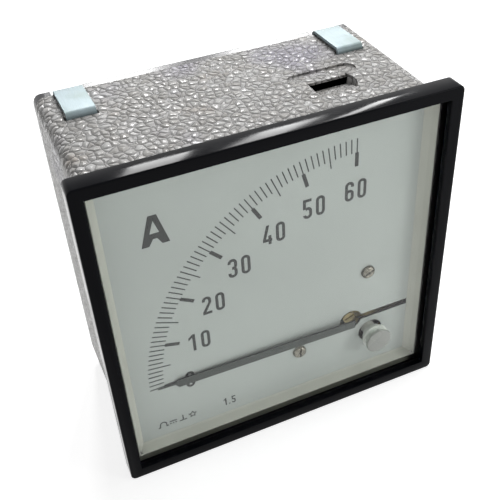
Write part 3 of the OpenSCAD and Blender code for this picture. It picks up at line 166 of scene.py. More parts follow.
class MeterStage(bpy.types.PropertyGroup):
    """Sizes and strengths of the stage."""

    floor_size: length("Floor", "Side of the square floor", 6000)
    floor_glow: FloatProperty(
        name="Floor glow", description="Share of white that the floor shows of itself", default=0.8
    )
    ambient: FloatProperty(
        name="Ambient", description="Strength of the plain light from all round", default=0.18
    )
    key: FloatProperty(
        name="Key lamp", description="Power of the soft lamp above", default=2.6, subtype="POWER"
    )
    side: FloatProperty(
        name="Side lamp", description="Power of the near lamp right of the dial", default=0.22,
        subtype="POWER",
    )
    band: FloatProperty(
        name="Band lamps", description="Power of each narrow lamp behind", default=1.7,
        subtype="POWER",
    )
    lens: FloatProperty(
        name="Lens", description="Focal length", default=58.53, unit="CAMERA"
    )


def colours():
    """Colours of the current scene."""
    return bpy.context.scene.meter_colours


def trim():
    """Trim sizes of the current scene."""
    return bpy.context.scene.meter_trim


def shaded(paint, share):
    """This share of a colour."""
    return [share * channel for channel in paint]


# ---- Making finishes ----


class Finish:
    """A material with a Principled shader, and short calls that add nodes to it."""

    def __init__(self, name, roughness=0.5, metallic=0.0):
        self.material = bpy.data.materials.new(name)
        self.material.use_nodes = True
        self.nodes = self.material.node_tree.nodes
        self.shader = self.nodes["Principled BSDF"]
        self.output = self.nodes["Material Output"]
        self.shader.inputs["Roughness"].default_value = roughness
        self.shader.inputs["Metallic"].default_value = metallic
        self.place = self.nodes.new("ShaderNodeTexCoord").outputs["Object"]

    def set(self, **values):
        """Sets the shader's sockets; a value may be a number, a colour or another node's output."""
        for name, value in values.items():
            self.feed(self.shader.inputs[name.replace("_", " ")], value)

    def feed(self, socket, value):
        """Gives a socket a constant or a link."""
        if isinstance(value, bpy.types.NodeSocket):
            self.material.node_tree.links.new(value, socket)
        elif socket.type == "RGBA":
            socket.default_value = (*value[:3], 1.0)
        else:
            socket.default_value = value

    def add(self, kind, inputs, **settings):
        """Adds a node with these inputs and settings, and returns it."""
        made = self.nodes.new("ShaderNode" + kind)
        for name, value in settings.items():
            setattr(made, name, value)
        for name, value in inputs.items():
            self.feed(made.inputs[name], value)
        return made

    def stretched(self, x, y, z):
        """Object coordinates scaled along each axis."""
        inputs = {"Vector": self.place, "Scale": (x, y, z)}
        return self.add("Mapping", inputs).outputs["Vector"]

    def noise(self, scale, detail=2.0, place=None):
        """Value of a noise pattern with this many lumps to the metre."""
        inputs = {"Vector": place or self.place, "Scale": scale, "Detail": detail}
        return self.add("TexNoise", inputs).outputs["Fac"]

    def wandering(self, scale, reach):
        """Object coordinates pushed about by a noise, so that a pattern loses its straightness."""
        push = self.add("TexNoise", {"Vector": self.place, "Scale": scale, "Detail": 1.0})
        centred = self.add(
            "VectorMath", {0: push.outputs["Color"], 1: (0.5, 0.5, 0.5)}, operation="SUBTRACT"
        )
        scaled = self.add("VectorMath", {0: centred.outputs[0], "Scale": reach}, operation="SCALE")
        moved = self.add("VectorMath", {0: self.place, 1: scaled.outputs[0]}, operation="ADD")
        return moved.outputs[0]

    def math(self, operation, first, second=0.0):
        """Result of a sum on one or two values."""
        return self.add("Math", {0: first, 1: second}, operation=operation).outputs[0]

    def spread(self, value, low, high, to_low=0.0, to_high=1.0, smooth=False):
        """Value moved from one range to another and held inside it."""
        inputs = {
            "Value": value,
            "From Min": low,
            "From Max": high,
            "To Min": to_low,
            "To Max": to_high,
        }
        kind = "SMOOTHSTEP" if smooth else "LINEAR"
        return self.add("MapRange", inputs, interpolation_type=kind).outputs["Result"]

    def blend(self, share, first, second, mode="MIX"):
        """Mix of two colours."""
        made = self.add("Mix", {}, data_type="RGBA", blend_type=mode)
        self.feed(made.inputs[0], share)
        self.feed(made.inputs[6], first)
        self.feed(made.inputs[7], second)
        return made.outputs[2]

    def grey(self, value):
        """Colour whose three channels are this value."""
        return self.add("CombineColor", {0: value, 1: value, 2: value}).outputs[0]

    def toned(self, paint, tone):
        """Colour multiplied by a grey tone."""
        return self.blend(1.0, paint, self.grey(tone), "MULTIPLY")

    def relief(self, height, depth, strength=1.0):
        """Lets a height pattern stand up by this depth in metres."""
        bump = self.add("Bump", {"Height": height, "Distance": depth, "Strength": strength})
        self.feed(self.shader.inputs["Normal"], bump.outputs["Normal"])
        self.feed(self.shader.inputs["Coat Normal"], bump.outputs["Normal"])


DOMES_TO_METRE = 500
DOME_HEIGHT = 0.0003


def hammered_enamel():
    """Grey hammertone enamel: domes of mixed size, thin grooves darkened with painted shade, and
    faint casts.
    """
    c = colours()
    made = Finish("hammered_enamel")
    domes = {"Vector": made.wandering(330, 0.0012), "Scale": DOMES_TO_METRE, "Randomness": 1.0}
    edge = made.add("TexVoronoi", domes, feature="DISTANCE_TO_EDGE").outputs["Distance"]
    to_middle = made.add("TexVoronoi", domes, feature="F1")
    # Painted shade laid into the grooves between domes, on top of their relief.
    groove = made.spread(edge, 0.0, 0.11, 1.0, 0.0, smooth=True)
    rise = made.spread(edge, 0.0, 0.34, smooth=True)
    lump = made.spread(to_middle.outputs["Distance"], 0.0, 0.75, 1.0, 0.0)
    tone = made.add("SeparateColor", {0: to_middle.outputs["Color"]}).outputs[0]
    cool = made.spread(made.noise(36, 2.0), 0.53, 0.66, 0.0, 0.8)
    warm = made.spread(made.noise(52, 1.0, made.stretched(1.0, 1.3, 0.8)), 0.6, 0.7, 0.0, 0.8)
    paint = made.blend(made.math("MULTIPLY", tone, 0.6), c.enamel, c.enamel_pale)
    paint = made.blend(cool, paint, c.enamel_cool)
    paint = made.blend(warm, paint, c.enamel_warm)
    made.set(
        Base_Color=made.blend(groove, paint, c.enamel_groove_shade),
        Roughness=made.spread(rise, 0.0, 1.0, 0.42, 0.17),
        Coat_Weight=0.12,
        Coat_Roughness=0.08,
        Specular_IOR_Level=0.2,
    )
    made.relief(made.math("ADD", rise, made.math("MULTIPLY", lump, 0.8)), DOME_HEIGHT, 1.0)
    return made.material


def gloss_moulding(name, paint, roughness=0.13, shine=0.5):
    """Hard gloss moulding with a trace of flow waviness and a few dull patches."""
    made = Finish(name)
    haze = made.spread(made.noise(120, 3.0), 0.45, 0.7, roughness, roughness + 0.07)
    made.set(Base_Color=paint, Roughness=haze, Specular_IOR_Level=shine)
    made.relief(made.noise(160, 2.0), 0.00002, 0.5)
    return made.material


GLASS_TINT = (0.97, 0.985, 0.975)


def window_glass():
    """Clear glass that bends what lies behind it little, shines on top and lets lamps through."""
    made = Finish("window_glass", roughness=0.0)
    smear = made.spread(made.noise(60, 3.0), 0.45, 0.75, 0.02, 0.09)
    made.set(
        Base_Color=GLASS_TINT, Transmission_Weight=1.0, IOR=1.02,
        Coat_Weight=1.0, Coat_IOR=1.25, Coat_Roughness=smear,
    )
    clear = made.add("BsdfTransparent", {"Color": GLASS_TINT})
    path = made.add("LightPath", {})
    mix = made.add(
        "MixShader",
        {0: path.outputs["Is Shadow Ray"], 1: made.shader.outputs[0], 2: clear.outputs[0]},
    )
    made.feed(made.output.inputs["Surface"], mix.outputs[0])
    return made.material


# Depth behind the dial's face over which its paint gives way to the painted shade of the edges.
EDGE_SHADE_REACH = (0.00006, 0.00014)


def dial_paint():
    """Satin paint, faintly cloudy; the plate's cut edges and back are painted near black as shade
    in its slot and holes.
    """
    c = colours()
    made = Finish("dial_paint", roughness=0.5)
    paint = made.toned(c.dial, made.spread(made.noise(30, 2.0), 0.35, 0.65, 0.97, 1.03))
    depth = made.add("SeparateXYZ", {0: made.place}).outputs["Y"]
    # Painted shade on every surface that lies behind the dial's front face.
    edge_shade = made.spread(depth, *(DIAL_FACE + reach for reach in EDGE_SHADE_REACH))
    made.set(Base_Color=made.blend(edge_shade, paint, c.dial_edge_shade))
    made.relief(made.noise(2600, 2.0), 0.000004, 0.3)
    return made.material


def satin_plastic(name, paint, roughness=0.38, grain=2600):
    """Satin moulding with a fine grain and a slight change of tone."""
    made = Finish(name)
    tone = made.spread(made.noise(90, 2.0), 0.3, 0.7, 0.94, 1.04)
    rough = made.spread(made.noise(400, 2.0), 0.3, 0.7, roughness - 0.05, roughness + 0.06)
    made.set(Base_Color=made.toned(paint, tone), Roughness=rough)
    made.relief(made.noise(grain, 2.0), 0.000012, 0.5)
    return made.material


def printing_ink():
    """Matt ink with slightly uneven cover."""
    c = colours()
    made = Finish("printing_ink", roughness=0.5)
    cover = made.spread(made.noise(2400, 3.0), 0.35, 0.7)
    made.set(Base_Color=made.blend(cover, c.ink, shaded(c.ink, 2.2)))
    made.relief(made.noise(5000, 1.0), 0.000006, 0.4)
    return made.material


def plated_strip(name, paint, tint, roughness=0.3, metallic=1.0, shine=0.5):
    """Plated sheet: fine rolling lines along it and cloudy patches of tint."""
    made = Finish(name, metallic=metallic)
    lines = made.noise(700, 3.0, made.stretched(6.0, 0.25, 6.0))
    cloud = made.spread(made.noise(170, 3.0), 0.42, 0.66)
    paint = made.blend(cloud, paint, tint)
    made.set(
        Base_Color=made.toned(paint, made.spread(lines, 0.3, 0.7, 0.86, 1.06)),
        Roughness=made.spread(lines, 0.3, 0.7, roughness - 0.07, roughness + 0.1),
        Specular_IOR_Level=shine,
    )
    made.relief(lines, 0.000012, 0.5)
    return made.material


def machined(name, paint, dark, roughness=0.28, scale=900):
    """Turned or sheet metal with fine tool marks and darker spots."""
    made = Finish(name, metallic=1.0)
    marks = made.noise(scale, 4.0, made.stretched(1.0, 5.0, 1.0))
    spots = made.spread(made.noise(420, 3.0), 0.5, 0.72)
    made.set(
        Base_Color=made.blend(spots, paint, dark),
        Roughness=made.spread(marks, 0.25, 0.75, roughness - 0.06, roughness + 0.14),
    )
    made.relief(marks, 0.00001, 0.6)
    return made.material


def cast_metal(name, paint, roughness=0.5, grain=1500):
    """Cast or ground metal with a grain of its own."""
    made = Finish(name, metallic=0.9)
    grains = made.noise(grain, 4.0)
    made.set(
        Base_Color=made.toned(paint, made.spread(grains, 0.3, 0.7, 0.8, 1.1)),
        Roughness=made.spread(grains, 0.3, 0.7, roughness - 0.1, roughness + 0.15),
    )
    made.relief(grains, 0.00005, 0.6)
    return made.material


def wound_wire(name, paint, pitch, axis):
    """Wire wound side by side: ridges across the axis, about as close as the turns, with painted
    shade in the hollows between turns.
    """
    made = Finish(name, roughness=0.3)
    inputs = {"Vector": made.place, "Scale": 0.25 / pitch, "Distortion": 0.3, "Detail": 1.0}
    ridges = made.add("TexWave", inputs, bands_direction=axis, wave_profile="SIN")
    wave = ridges.outputs["Fac"]
    made.set(
        # Painted shade: the hollows between turns are darkened to 35 per cent of the wire's colour.
        Base_Color=made.blend(wave, shaded(paint, 0.35), paint),
        Metallic=0.4,
        Coat_Weight=0.35,
    )
    made.relief(wave, pitch * 0.4, 0.8)
    return made.material


def ruby():
    """Clear red jewel."""
    made = Finish("jewel_ruby", roughness=0.06)
    deep = made.spread(made.noise(2500, 2.0), 0.35, 0.65)
    made.set(
        Base_Color=made.blend(deep, (0.75, 0.02, 0.07), (0.45, 0.01, 0.05)),
        Transmission_Weight=0.7,
        IOR=1.76,
    )
    return made.material


# ---- Modelling ----

HAIR = 0.0001 * MM
WELD = 0.001 * MM
THREAD_STEPS = 24


def deselect():
    """Leaves nothing selected and nothing active in edit mode."""
    if bpy.context.object and bpy.context.object.mode != "OBJECT":
        bpy.ops.object.mode_set(mode="OBJECT")
    bpy.ops.object.select_all(action="DESELECT")


def activate(piece):
    """Leaves just this piece selected and active, out of edit mode."""
    deselect()
    piece.select_set(True)
    bpy.context.view_layer.objects.active = piece


def apply_place():
    """Puts the active piece's place, turn and scale into its mesh."""
    bpy.ops.object.transform_apply(location=True, rotation=True, scale=True)


def settle(piece, name, body, slot, finish, *replaced):
    """Names and paints a finished piece, and lets it ride a body and stand for its nodes."""
    activate(piece)
    piece.name = name
    piece.data.name = name
    apply_place()
    piece.data.materials.clear()
    piece.data.materials.append(finish)
    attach(piece, body)
    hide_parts(*replaced)


def select_only(mode, parts, test):
    """In edit mode, selects just the faces or edges that pass the test, and insists on some."""
    mesh = bmesh.from_edit_mesh(bpy.context.object.data)
    bpy.ops.mesh.select_mode(type=mode)
    bpy.ops.mesh.select_all(action="DESELECT")
    chosen = [part for part in getattr(mesh, parts) if test(part)]
    if not chosen:
        raise RuntimeError(f"no {parts} of {bpy.context.object.name} pass the test")
    for part in chosen:
        part.select_set(True)
    bmesh.update_edit_mesh(bpy.context.object.data)


def select_edges(test):
    """Selects just the edges whose two ends pass the test."""
    select_only("EDGE", "edges", lambda edge: test(edge.verts[0].co) and test(edge.verts[1].co))


def box_piece(low, high):
    """Adds a cube with these corners, its place already in its mesh, and enters edit mode."""
    deselect()
    bpy.ops.mesh.primitive_cube_add(size=1, location=(low + high) / 2, scale=high - low)
    apply_place()
    bpy.ops.object.mode_set(mode="EDIT")
    return bpy.context.object


def combine(piece, tool, operation="DIFFERENCE"):
    """Cuts or trims a piece with another one, which goes, and enters edit mode."""
    activate(piece)
    change = piece.modifiers.new("change", "BOOLEAN")
    change.operation = operation
    change.solver = "EXACT"
    change.object = tool
    bpy.ops.object.modifier_apply(modifier=change.name)
    bpy.data.objects.remove(tool)
    bpy.ops.object.mode_set(mode="EDIT")


def widest(at):
    """Larger of a point's distances from the middle across and up."""
    return max(abs(at.x), abs(at.z))


def finish_shape(angle=35):
    """Welds the active piece, turns its faces outward and smooths them up to this angle."""
    bpy.ops.object.mode_set(mode="EDIT")
    bpy.ops.mesh.select_all(action="SELECT")
    bpy.ops.mesh.remove_doubles(threshold=WELD)
    bpy.ops.mesh.normals_make_consistent(inside=False)
    bpy.ops.object.mode_set(mode="OBJECT")
    bpy.ops.object.shade_smooth_by_angle(angle=math.radians(angle))
    return bpy.context.object


def near(a, b, slack=0.01 * MM):
    """True if two lengths agree."""
    return abs(a - b) < slack


class METER_OT_bezel(bpy.types.Operator):
    """Moulds the bezel frame with its lip, rim and rounded edges"""

    bl_idname = "meter.bezel"
    bl_label = "Bezel"

    def execute(self, context):
        t = trim()
        low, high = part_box("bezel_frame")
        half = high.x
        window = half - t.lip
        recess = half - t.rim
        lip_back = low.y + t.lip_depth
        piece = box_piece(low, high)
        select_only("EDGE", "edges", lambda edge: not near(edge.verts[0].co.y, edge.verts[1].co.y))
        bpy.ops.mesh.bevel(offset=t.corner, segments=8)
        select_edges(lambda end: near(end.y, low.y))
        bpy.ops.mesh.bevel(offset=t.edge, segments=6)
        select_edges(lambda end: near(end.y, high.y))
        bpy.ops.mesh.bevel(offset=t.break_edge, segments=2)
        for reach, front in ((window, low.y - MM), (recess, lip_back)):
            hole = Vector((-reach, front, -reach)), Vector((reach, high.y + MM, reach))
            combine(piece, box_piece(*hole))
        select_edges(lambda end: near(end.y, low.y) and near(widest(end), window))
        bpy.ops.mesh.bevel(offset=t.break_edge, segments=3)
        piece = finish_shape()
        finish = gloss_moulding("bezel_gloss", colours().bezel, 0.09, 0.06)
        settle(piece, "bezel_moulding", "case", "bezel_black", finish, "bezel_frame")
        return {"FINISHED"}


# ---- Fasteners, clips and adjuster ----


def drum(at, front, radius, depth, sides=48):
    """Adds a closed cylinder along Y whose front face is at this level, and enters edit mode."""
    deselect()
    bpy.ops.mesh.primitive_cylinder_add(
        vertices=sides, radius=radius, depth=depth,
        location=(at[0], front + depth / 2, at[1]), rotation=(math.pi / 2, 0, 0),
    )
    apply_place()
    bpy.ops.object.mode_set(mode="EDIT")
    return bpy.context.object


def step_cap(level, radius, new_radius, length, shift=(0, 0, 0)):
    """Draws the cap at this level out along Y at another radius, after moving it by the shift."""
    select_only(
        "FACE", "faces",
        lambda face: near(face.calc_center_median().y, level) and abs(face.normal.y) > 0.9,
    )
    bpy.ops.mesh.inset(thickness=HAIR)
    ratio = new_radius / radius
    bpy.ops.transform.resize(value=(ratio, 1, ratio), center_override=cap_centre())
    bpy.ops.transform.translate(value=shift)
    bpy.ops.mesh.extrude_region_move(TRANSFORM_OT_translate={"value": (0, length, 0)})


def cap_centre():
    """Middle of the selected faces."""
    mesh = bmesh.from_edit_mesh(bpy.context.object.data)
    chosen = [face.calc_center_median() for face in mesh.faces if face.select]
    return sum(chosen, Vector()) / len(chosen)


def round_rim(level, at, radius, offset, segments=4):
    """Bevels the circular rim of this radius at this level."""
    centre = Vector((at[0], level, at[1]))
    select_edges(
        lambda end: near(end.y, level) and near((end - centre).length, radius, 0.02 * MM)
    )
    bpy.ops.mesh.bevel(offset=offset, segments=segments)


def cut_slot(piece, at, level, reach, width, depth, turn):
    """Cuts a screwdriver slot of this width and depth into the face at this level."""
    cutter = box_piece(Vector((-reach, -depth, -width / 2)), Vector((reach, depth, width / 2)))
    cutter.rotation_euler = (0, -turn, 0)
    cutter.location = (at[0], level, at[1])
    combine(piece, cutter)


def gather(pieces):
    """Joins several pieces into the first of them."""
    deselect()
    for piece in pieces:
        piece.select_set(True)
    bpy.context.view_layer.objects.active = pieces[0]
    bpy.ops.object.join()
    return bpy.context.object


def again(piece, turn=(0, 0, 0), move=(0, 0, 0)):
    """Copies a piece with its own mesh, turned about the origin and then moved."""
    activate(piece)
    bpy.ops.object.duplicate(linked=False)
    made = bpy.context.object
    made.rotation_euler = turn
    made.location = move
    apply_place()
    return made


class METER_OT_clips(bpy.types.Operator):
    """Bends the four spring clips that hold the base plate to the case"""

    bl_idname = "meter.clips"
    bl_label = "Clips"

    def execute(self, context):
        t = trim()
        c = colours()
        low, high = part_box("retaining_clips")
        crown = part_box("base_plate")[1].z
        middle_x = high.x - t.clip_width / 2
        hook_end = crown - t.clip_hook
        front_bend = (low.y + t.clip_bend, high.z - t.clip_bend)
        back_bend = (high.y - t.clip_back_bend, high.z - t.clip_fall - t.clip_back_bend)
        run = back_bend[0] - front_bend[0]
        fall = math.atan(t.clip_fall / run)
        deselect()
        bpy.ops.mesh.primitive_plane_add(
            size=1, location=(middle_x, low.y + t.clip_sheet / 2, hook_end)
        )
        piece = bpy.context.object
        piece.scale = (t.clip_width, t.clip_sheet, 1)
        apply_place()
        bpy.ops.object.mode_set(mode="EDIT")
        bpy.ops.mesh.select_all(action="SELECT")
        self.run_on(0, front_bend[1] - hook_end)
        self.bend(front_bend, math.pi / 2 + fall)
        self.run_on(run, -t.clip_fall)
        self.bend(back_bend, math.pi / 2 - fall)
        self.run_on(0, crown - t.clip_tail - back_bend[1])
        piece = finish_shape()
        beside = again(piece, move=(-2 * middle_x, 0, 0))
        below = [again(clip, (0, math.pi, 0)) for clip in (piece, beside)]
        piece = gather([piece, below[0], beside, below[1]])
        finish = plated_strip("zinc_plate", c.zinc, c.zinc_tint, 0.42, 0.2, 0.25)
        settle(piece, "spring_clips", "case", "clip_zinc", finish, "retaining_clips")
        return {"FINISHED"}

    def run_on(self, back, up):
        """Draws the strip's open end on, straight."""
        bpy.ops.mesh.extrude_region_move(TRANSFORM_OT_translate={"value": (0, back, up)})

    def bend(self, centre, angle):
        """Spins the strip's open end about an axis along X."""
        bpy.ops.mesh.spin(steps=8, angle=angle, center=(0, *centre), axis=(1, 0, 0))


class METER_OT_dial_screws(bpy.types.Operator):
    """Turns the two domed slotted screws that hold the dial"""

    bl_idname = "meter.dial_screws"
    bl_label = "Dial screws"

    def execute(self, context):
        t = trim()
        c = colours()
        low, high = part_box("dial_screws")
        r = t.screw_head
        head = DIAL_FACE - low.y
        made = []
        for at, turn in (((high.x - r, high.z - r), 25), ((low.x + r, low.z + r), 85)):
            piece = drum(at, low.y, r, head)
            step_cap(DIAL_FACE, r, t.screw_shank, high.y - DIAL_FACE)
            round_rim(low.y, at, r, head * 0.62, 6)
            cut_slot(piece, at, low.y, 2 * r, t.screw_slot, head * 0.5, math.radians(turn))
            made.append(finish_shape(40))
        piece = gather(made)
        finish = machined("dial_screw_nickel", c.nickel, shaded(c.nickel, 0.4), 0.22, 1600)
        settle(piece, "domed_dial_screws", "case", "screw_nickel", finish, "dial_screws")
        return {"FINISHED"}


class METER_OT_terminals(bpy.types.Operator):
    """Cuts the threads of the two terminal studs and chamfers their nuts"""

    bl_idname = "meter.terminals"
    bl_label = "Terminals"

    def execute(self, context):
        t = trim()
        c = colours()
        low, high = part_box("terminal_studs")
        head = (high.z - low.z) / 2
        at = (high.x - head, high.z - head)
        head_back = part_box("solder_tags")[0].y
        base_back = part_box("terminal_washers")[0].y
        stud = drum(at, low.y, head, head_back - low.y)
        step_cap(head_back, head, t.stud, base_back - head_back)
        step_cap(base_back, t.stud, t.stud - t.thread, high.y - base_back)
        round_rim(high.y, at, t.stud - t.thread, t.thread, 1)
        round_rim(low.y, at, head, t.break_edge * 2, 3)
        stud = finish_shape()
        thread = self.thread(at, base_back + t.thread_pitch, high.y - t.thread_pitch)
        stud = gather([stud, thread])
        stud = gather([stud, again(stud, move=(-2 * at[0], 0, 0))])
        brass = machined("stud_brass", c.brass, c.brass_dull, 0.26)
        settle(stud, "threaded_studs", "case", "terminal_brass", brass, "terminal_studs")
        self.nuts(at, brass)
        return {"FINISHED"}

    def thread(self, at, start, end):
        """One thread ridge: a small triangle wound along the stud by a Screw modifier."""
        t = trim()
        turns = int((end - start) / t.thread_pitch)
        deselect()
        bpy.ops.mesh.primitive_circle_add(
            vertices=3, radius=t.thread_pitch * 0.55, fill_type="NGON", location=(0, 0, 0)
        )
        piece = bpy.context.object
        bpy.ops.object.mode_set(mode="EDIT")
        bpy.ops.mesh.select_all(action="SELECT")
        for axis in "XY":
            bpy.ops.transform.rotate(
                value=math.pi / 2, orient_axis=axis, center_override=(0, 0, 0)
            )
        mesh = bmesh.from_edit_mesh(piece.data)
        reach = max(vert.co.x for vert in mesh.verts)
        bpy.ops.transform.translate(value=(t.stud - reach, 0, 0))
        bpy.ops.mesh.delete(type="ONLY_FACE")
        bpy.ops.object.mode_set(mode="OBJECT")
        wind = piece.modifiers.new("wind", "SCREW")
        wind.axis = "Z"
        wind.screw_offset = t.thread_pitch * turns
        wind.angle = 2 * math.pi * turns
        wind.steps = THREAD_STEPS * turns
        wind.render_steps = THREAD_STEPS * turns
        bpy.ops.object.modifier_apply(modifier=wind.name)
        bpy.ops.object.mode_set(mode="EDIT")
        bpy.ops.mesh.select_all(action="SELECT")
        bpy.ops.mesh.remove_doubles(threshold=WELD)
        bpy.ops.mesh.select_all(action="DESELECT")
        bpy.ops.mesh.select_non_manifold()
        bpy.ops.mesh.edge_face_add()
        bpy.ops.object.mode_set(mode="OBJECT")
        piece.rotation_euler = (-math.pi / 2, 0, 0)
        piece.location = (at[0], start, at[1])
        apply_place()
        return finish_shape(50)

    def nuts(self, at, brass):
        """Four chamfered hexagon nuts, two to a stud."""
        t = trim()
        low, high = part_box("terminal_nuts")
        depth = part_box("terminal_washers")[1].y - t.washer - low.y
        corner = (high.z - low.z) / 2 / math.cos(math.pi / 6)
        piece = drum(at, low.y, corner, depth, 6)
        bpy.ops.mesh.select_all(action="SELECT")
        bpy.ops.transform.rotate(
            value=math.pi / 6, orient_axis="Y", center_override=(at[0], 0, at[1])
        )
        ends = (low.y - MM, low.y + depth + MM)
        round_blank = drum(at, ends[0], corner * 0.985, ends[1] - ends[0], 64)
        for end in ends:
            round_rim(end, at, corner * 0.985, 1.25 * MM, 1)
        combine(piece, round_blank, "INTERSECT")
        hole = drum(at, ends[0], t.stud + 0.05 * MM, ends[1] - ends[0])
        combine(piece, hole)
        piece = finish_shape(30)
        pair = gather([piece, again(piece, move=(0, high.y - depth - low.y, 0))])
        both = gather([pair, again(pair, move=(-2 * at[0], 0, 0))])
        settle(both, "chamfered_nuts", "case", "terminal_brass", brass, "terminal_nuts")


class METER_OT_adjuster(bpy.types.Operator):
    """Turns the white zero adjuster with its rounded head, thick shaft, stem and eccentric pin"""

    bl_idname = "meter.adjuster"
    bl_label = "Zero adjuster"

    def execute(self, context):
        t = trim()
        low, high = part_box("zero_adjuster")
        head = (high.x - low.x) / 2
        at = (ADJUSTER.x, ADJUSTER.z)
        seat = low.y + t.adjuster_head
        shaft_end = DIAL_FACE - t.adjuster_stand
        stem_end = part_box("zero_lever")[0].y - t.adjuster_gap
        piece = drum(at, low.y, head, t.adjuster_head, 64)
        step_cap(seat, head, t.adjuster_shaft, shaft_end - seat)
        step_cap(shaft_end, t.adjuster_shaft, t.adjuster_stem, stem_end - shaft_end)
        to_pivot = Vector((PIVOT.x - at[0], 0, PIVOT.z - at[1])).normalized()
        step_cap(
            stem_end, t.adjuster_stem, t.adjuster_pin, high.y - stem_end,
            to_pivot * t.adjuster_throw,
        )
        round_rim(low.y, at, head, t.adjuster_head * 0.7, 5)
        round_rim(shaft_end, at, t.adjuster_shaft, t.break_edge * 2, 3)
        slot_depth = t.adjuster_head * 0.3
        cut_slot(piece, at, low.y, 2 * head, t.adjuster_slot, slot_depth, math.radians(-45))
        piece = finish_shape(40)
        finish = gloss_moulding("adjuster_plastic", colours().adjuster, 0.25)
        settle(
            piece, "turned_zero_adjuster", "zero_adjuster", "adjuster_white", finish,
            "zero_adjuster",
        )
        return {"FINISHED"}


# ---- Finishes on the parts that keep their own shape ----


def dress(finish, *nodes):
    """Gives a finish to every slot of these nodes."""
    for node in nodes:
        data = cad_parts[node].data
        data.materials.clear()
        data.materials.append(finish)


class METER_OT_case(bpy.types.Operator):
    """Enamels the sheet-steel case and finishes the base plate, washers, screws and tags"""

    bl_idname = "meter.case"
    bl_label = "Case"

    def execute(self, context):
        c = colours()
        dress(hammered_enamel(), "case_shell")
        dress(gloss_moulding("phenolic_gloss", c.base, 0.2), "base_plate")
        dress(
            machined("nickel_plate", c.nickel, shaded(c.nickel, 0.5)), "terminal_washers",
            "frame_screws", "yoke_screws", "bridge_screws", "rear_bridge_screws", "resistor_screw",
        )
        dress(plated_strip("tinned_brass", (0.62, 0.60, 0.54), (0.5, 0.46, 0.36)), "solder_tags")
        return {"FINISHED"}


class METER_OT_front(bpy.types.Operator):
    """Finishes the glass, gasket, liner, dial, scale, pointer and the adjuster's clip"""

    bl_idname = "meter.front"
    bl_label = "Front"

    def execute(self, context):
        c = colours()
        dress(window_glass(), "front_glass")
        dress(satin_plastic("gasket_rubber", c.rubber, 0.7), "window_gasket")
        dress(satin_plastic("liner_moulding", c.liner), "dial_liner")
        dress(dial_paint(), "dial_plate")
        dress(printing_ink(), "dial_print")
        dress(satin_plastic("pointer_enamel", c.pointer, 0.4, 5000), "pointer")
        dress(gloss_moulding("clip_plastic", c.adjuster, 0.25), "adjuster_clip")
        return {"FINISHED"}


class METER_OT_movement(bpy.types.Operator):
    """Finishes the moving-coil movement, its bridges, springs and wires"""

    bl_idname = "meter.movement"
    bl_label = "Movement"

    def execute(self, context):
        c = colours()
        dress(
            machined("bridge_brass", c.brass_dull, shaded(c.brass_dull, 0.5), 0.4),
            "front_bridge", "rear_bridge", "zero_lever", "front_jewel_screw", "rear_jewel_screw",
            "pointer_hub", "balance_weights",
        )
        dress(cast_metal("cast_aluminium", (0.5, 0.5, 0.49)), "movement_frame")
        dress(cast_metal("soft_iron", (0.28, 0.29, 0.31), 0.35, 3000), "yoke_ring")
        dress(cast_metal("magnet_alloy", (0.2, 0.2, 0.22), 0.45), "core_magnet")
        dress(machined("former_strip", (0.72, 0.72, 0.74), (0.6, 0.6, 0.62), 0.2), "coil_former")
        dress(
            machined("spring_bronze", (0.55, 0.34, 0.16), (0.4, 0.22, 0.1), 0.25),
            "front_hairspring", "rear_hairspring", "lever_washer",
        )
        dress(
            machined("polished_steel", (0.56, 0.56, 0.58), (0.45, 0.45, 0.48), 0.15),
            "front_staff", "rear_staff",
        )
        dress(wound_wire("coil_copper", c.copper, 0.25 * MM, "Z"), "coil_winding")
        dress(wound_wire("resistance_wire", (0.16, 0.17, 0.1), 0.3 * MM, "Y"), "resistor_winding")
        dress(satin_plastic("insulator_fibre", (0.3, 0.09, 0.05), 0.6), "bridge_insulators")
        dress(satin_plastic("bobbin_phenolic", (0.22, 0.11, 0.05), 0.45), "resistor_bobbin")
        dress(ruby(), "jewels")
        dress(gloss_moulding("wire_insulation", (0.3, 0.03, 0.03), 0.35), "hookup_wires")
        return {"FINISHED"}


# ---- Stage ----

KEY_AT = (0.35, 0.15, 0.75)
KEY_SIZE = 0.4
SIDE_AT = (0.26, -0.26, 0.12)
SIDE_SIZE = 0.12
BAND_HEIGHT = 0.25
BAND_WIDTH = 0.085
BAND_LAMPS = (
    ((0.110, 0.66, 0.47), BAND_WIDTH),
    ((0.277, 0.63, 0.455), BAND_WIDTH),
    ((0.40, 0.59, 0.43), 0.032),
)
BEZEL_TOP = (0, 0, 0.048)
CAMERA_AT = (-0.06347, -0.14516, 0.13967)
CAMERA_FORWARD = (0.296, 0.720, -0.627)
CAMERA_UP = (0.286, 0.559, 0.778)
CAMERA_SHIFT = -0.0246


def soft_lamp(name, at, target, size, power, size_y=None):
    """Adds a square or rectangular soft lamp that faces a target."""
    data = bpy.data.lights.new(name, "AREA")
    data.energy = power
    data.size = size
    if size_y:
        data.shape = "RECTANGLE"
        data.size_y = size_y
    lamp = bpy.data.objects.new(name, data)
    bpy.context.scene.collection.objects.link(lamp)
    lamp.location = at
    lamp.rotation_euler = (Vector(target) - lamp.location).to_track_quat("-Z", "Y").to_euler()


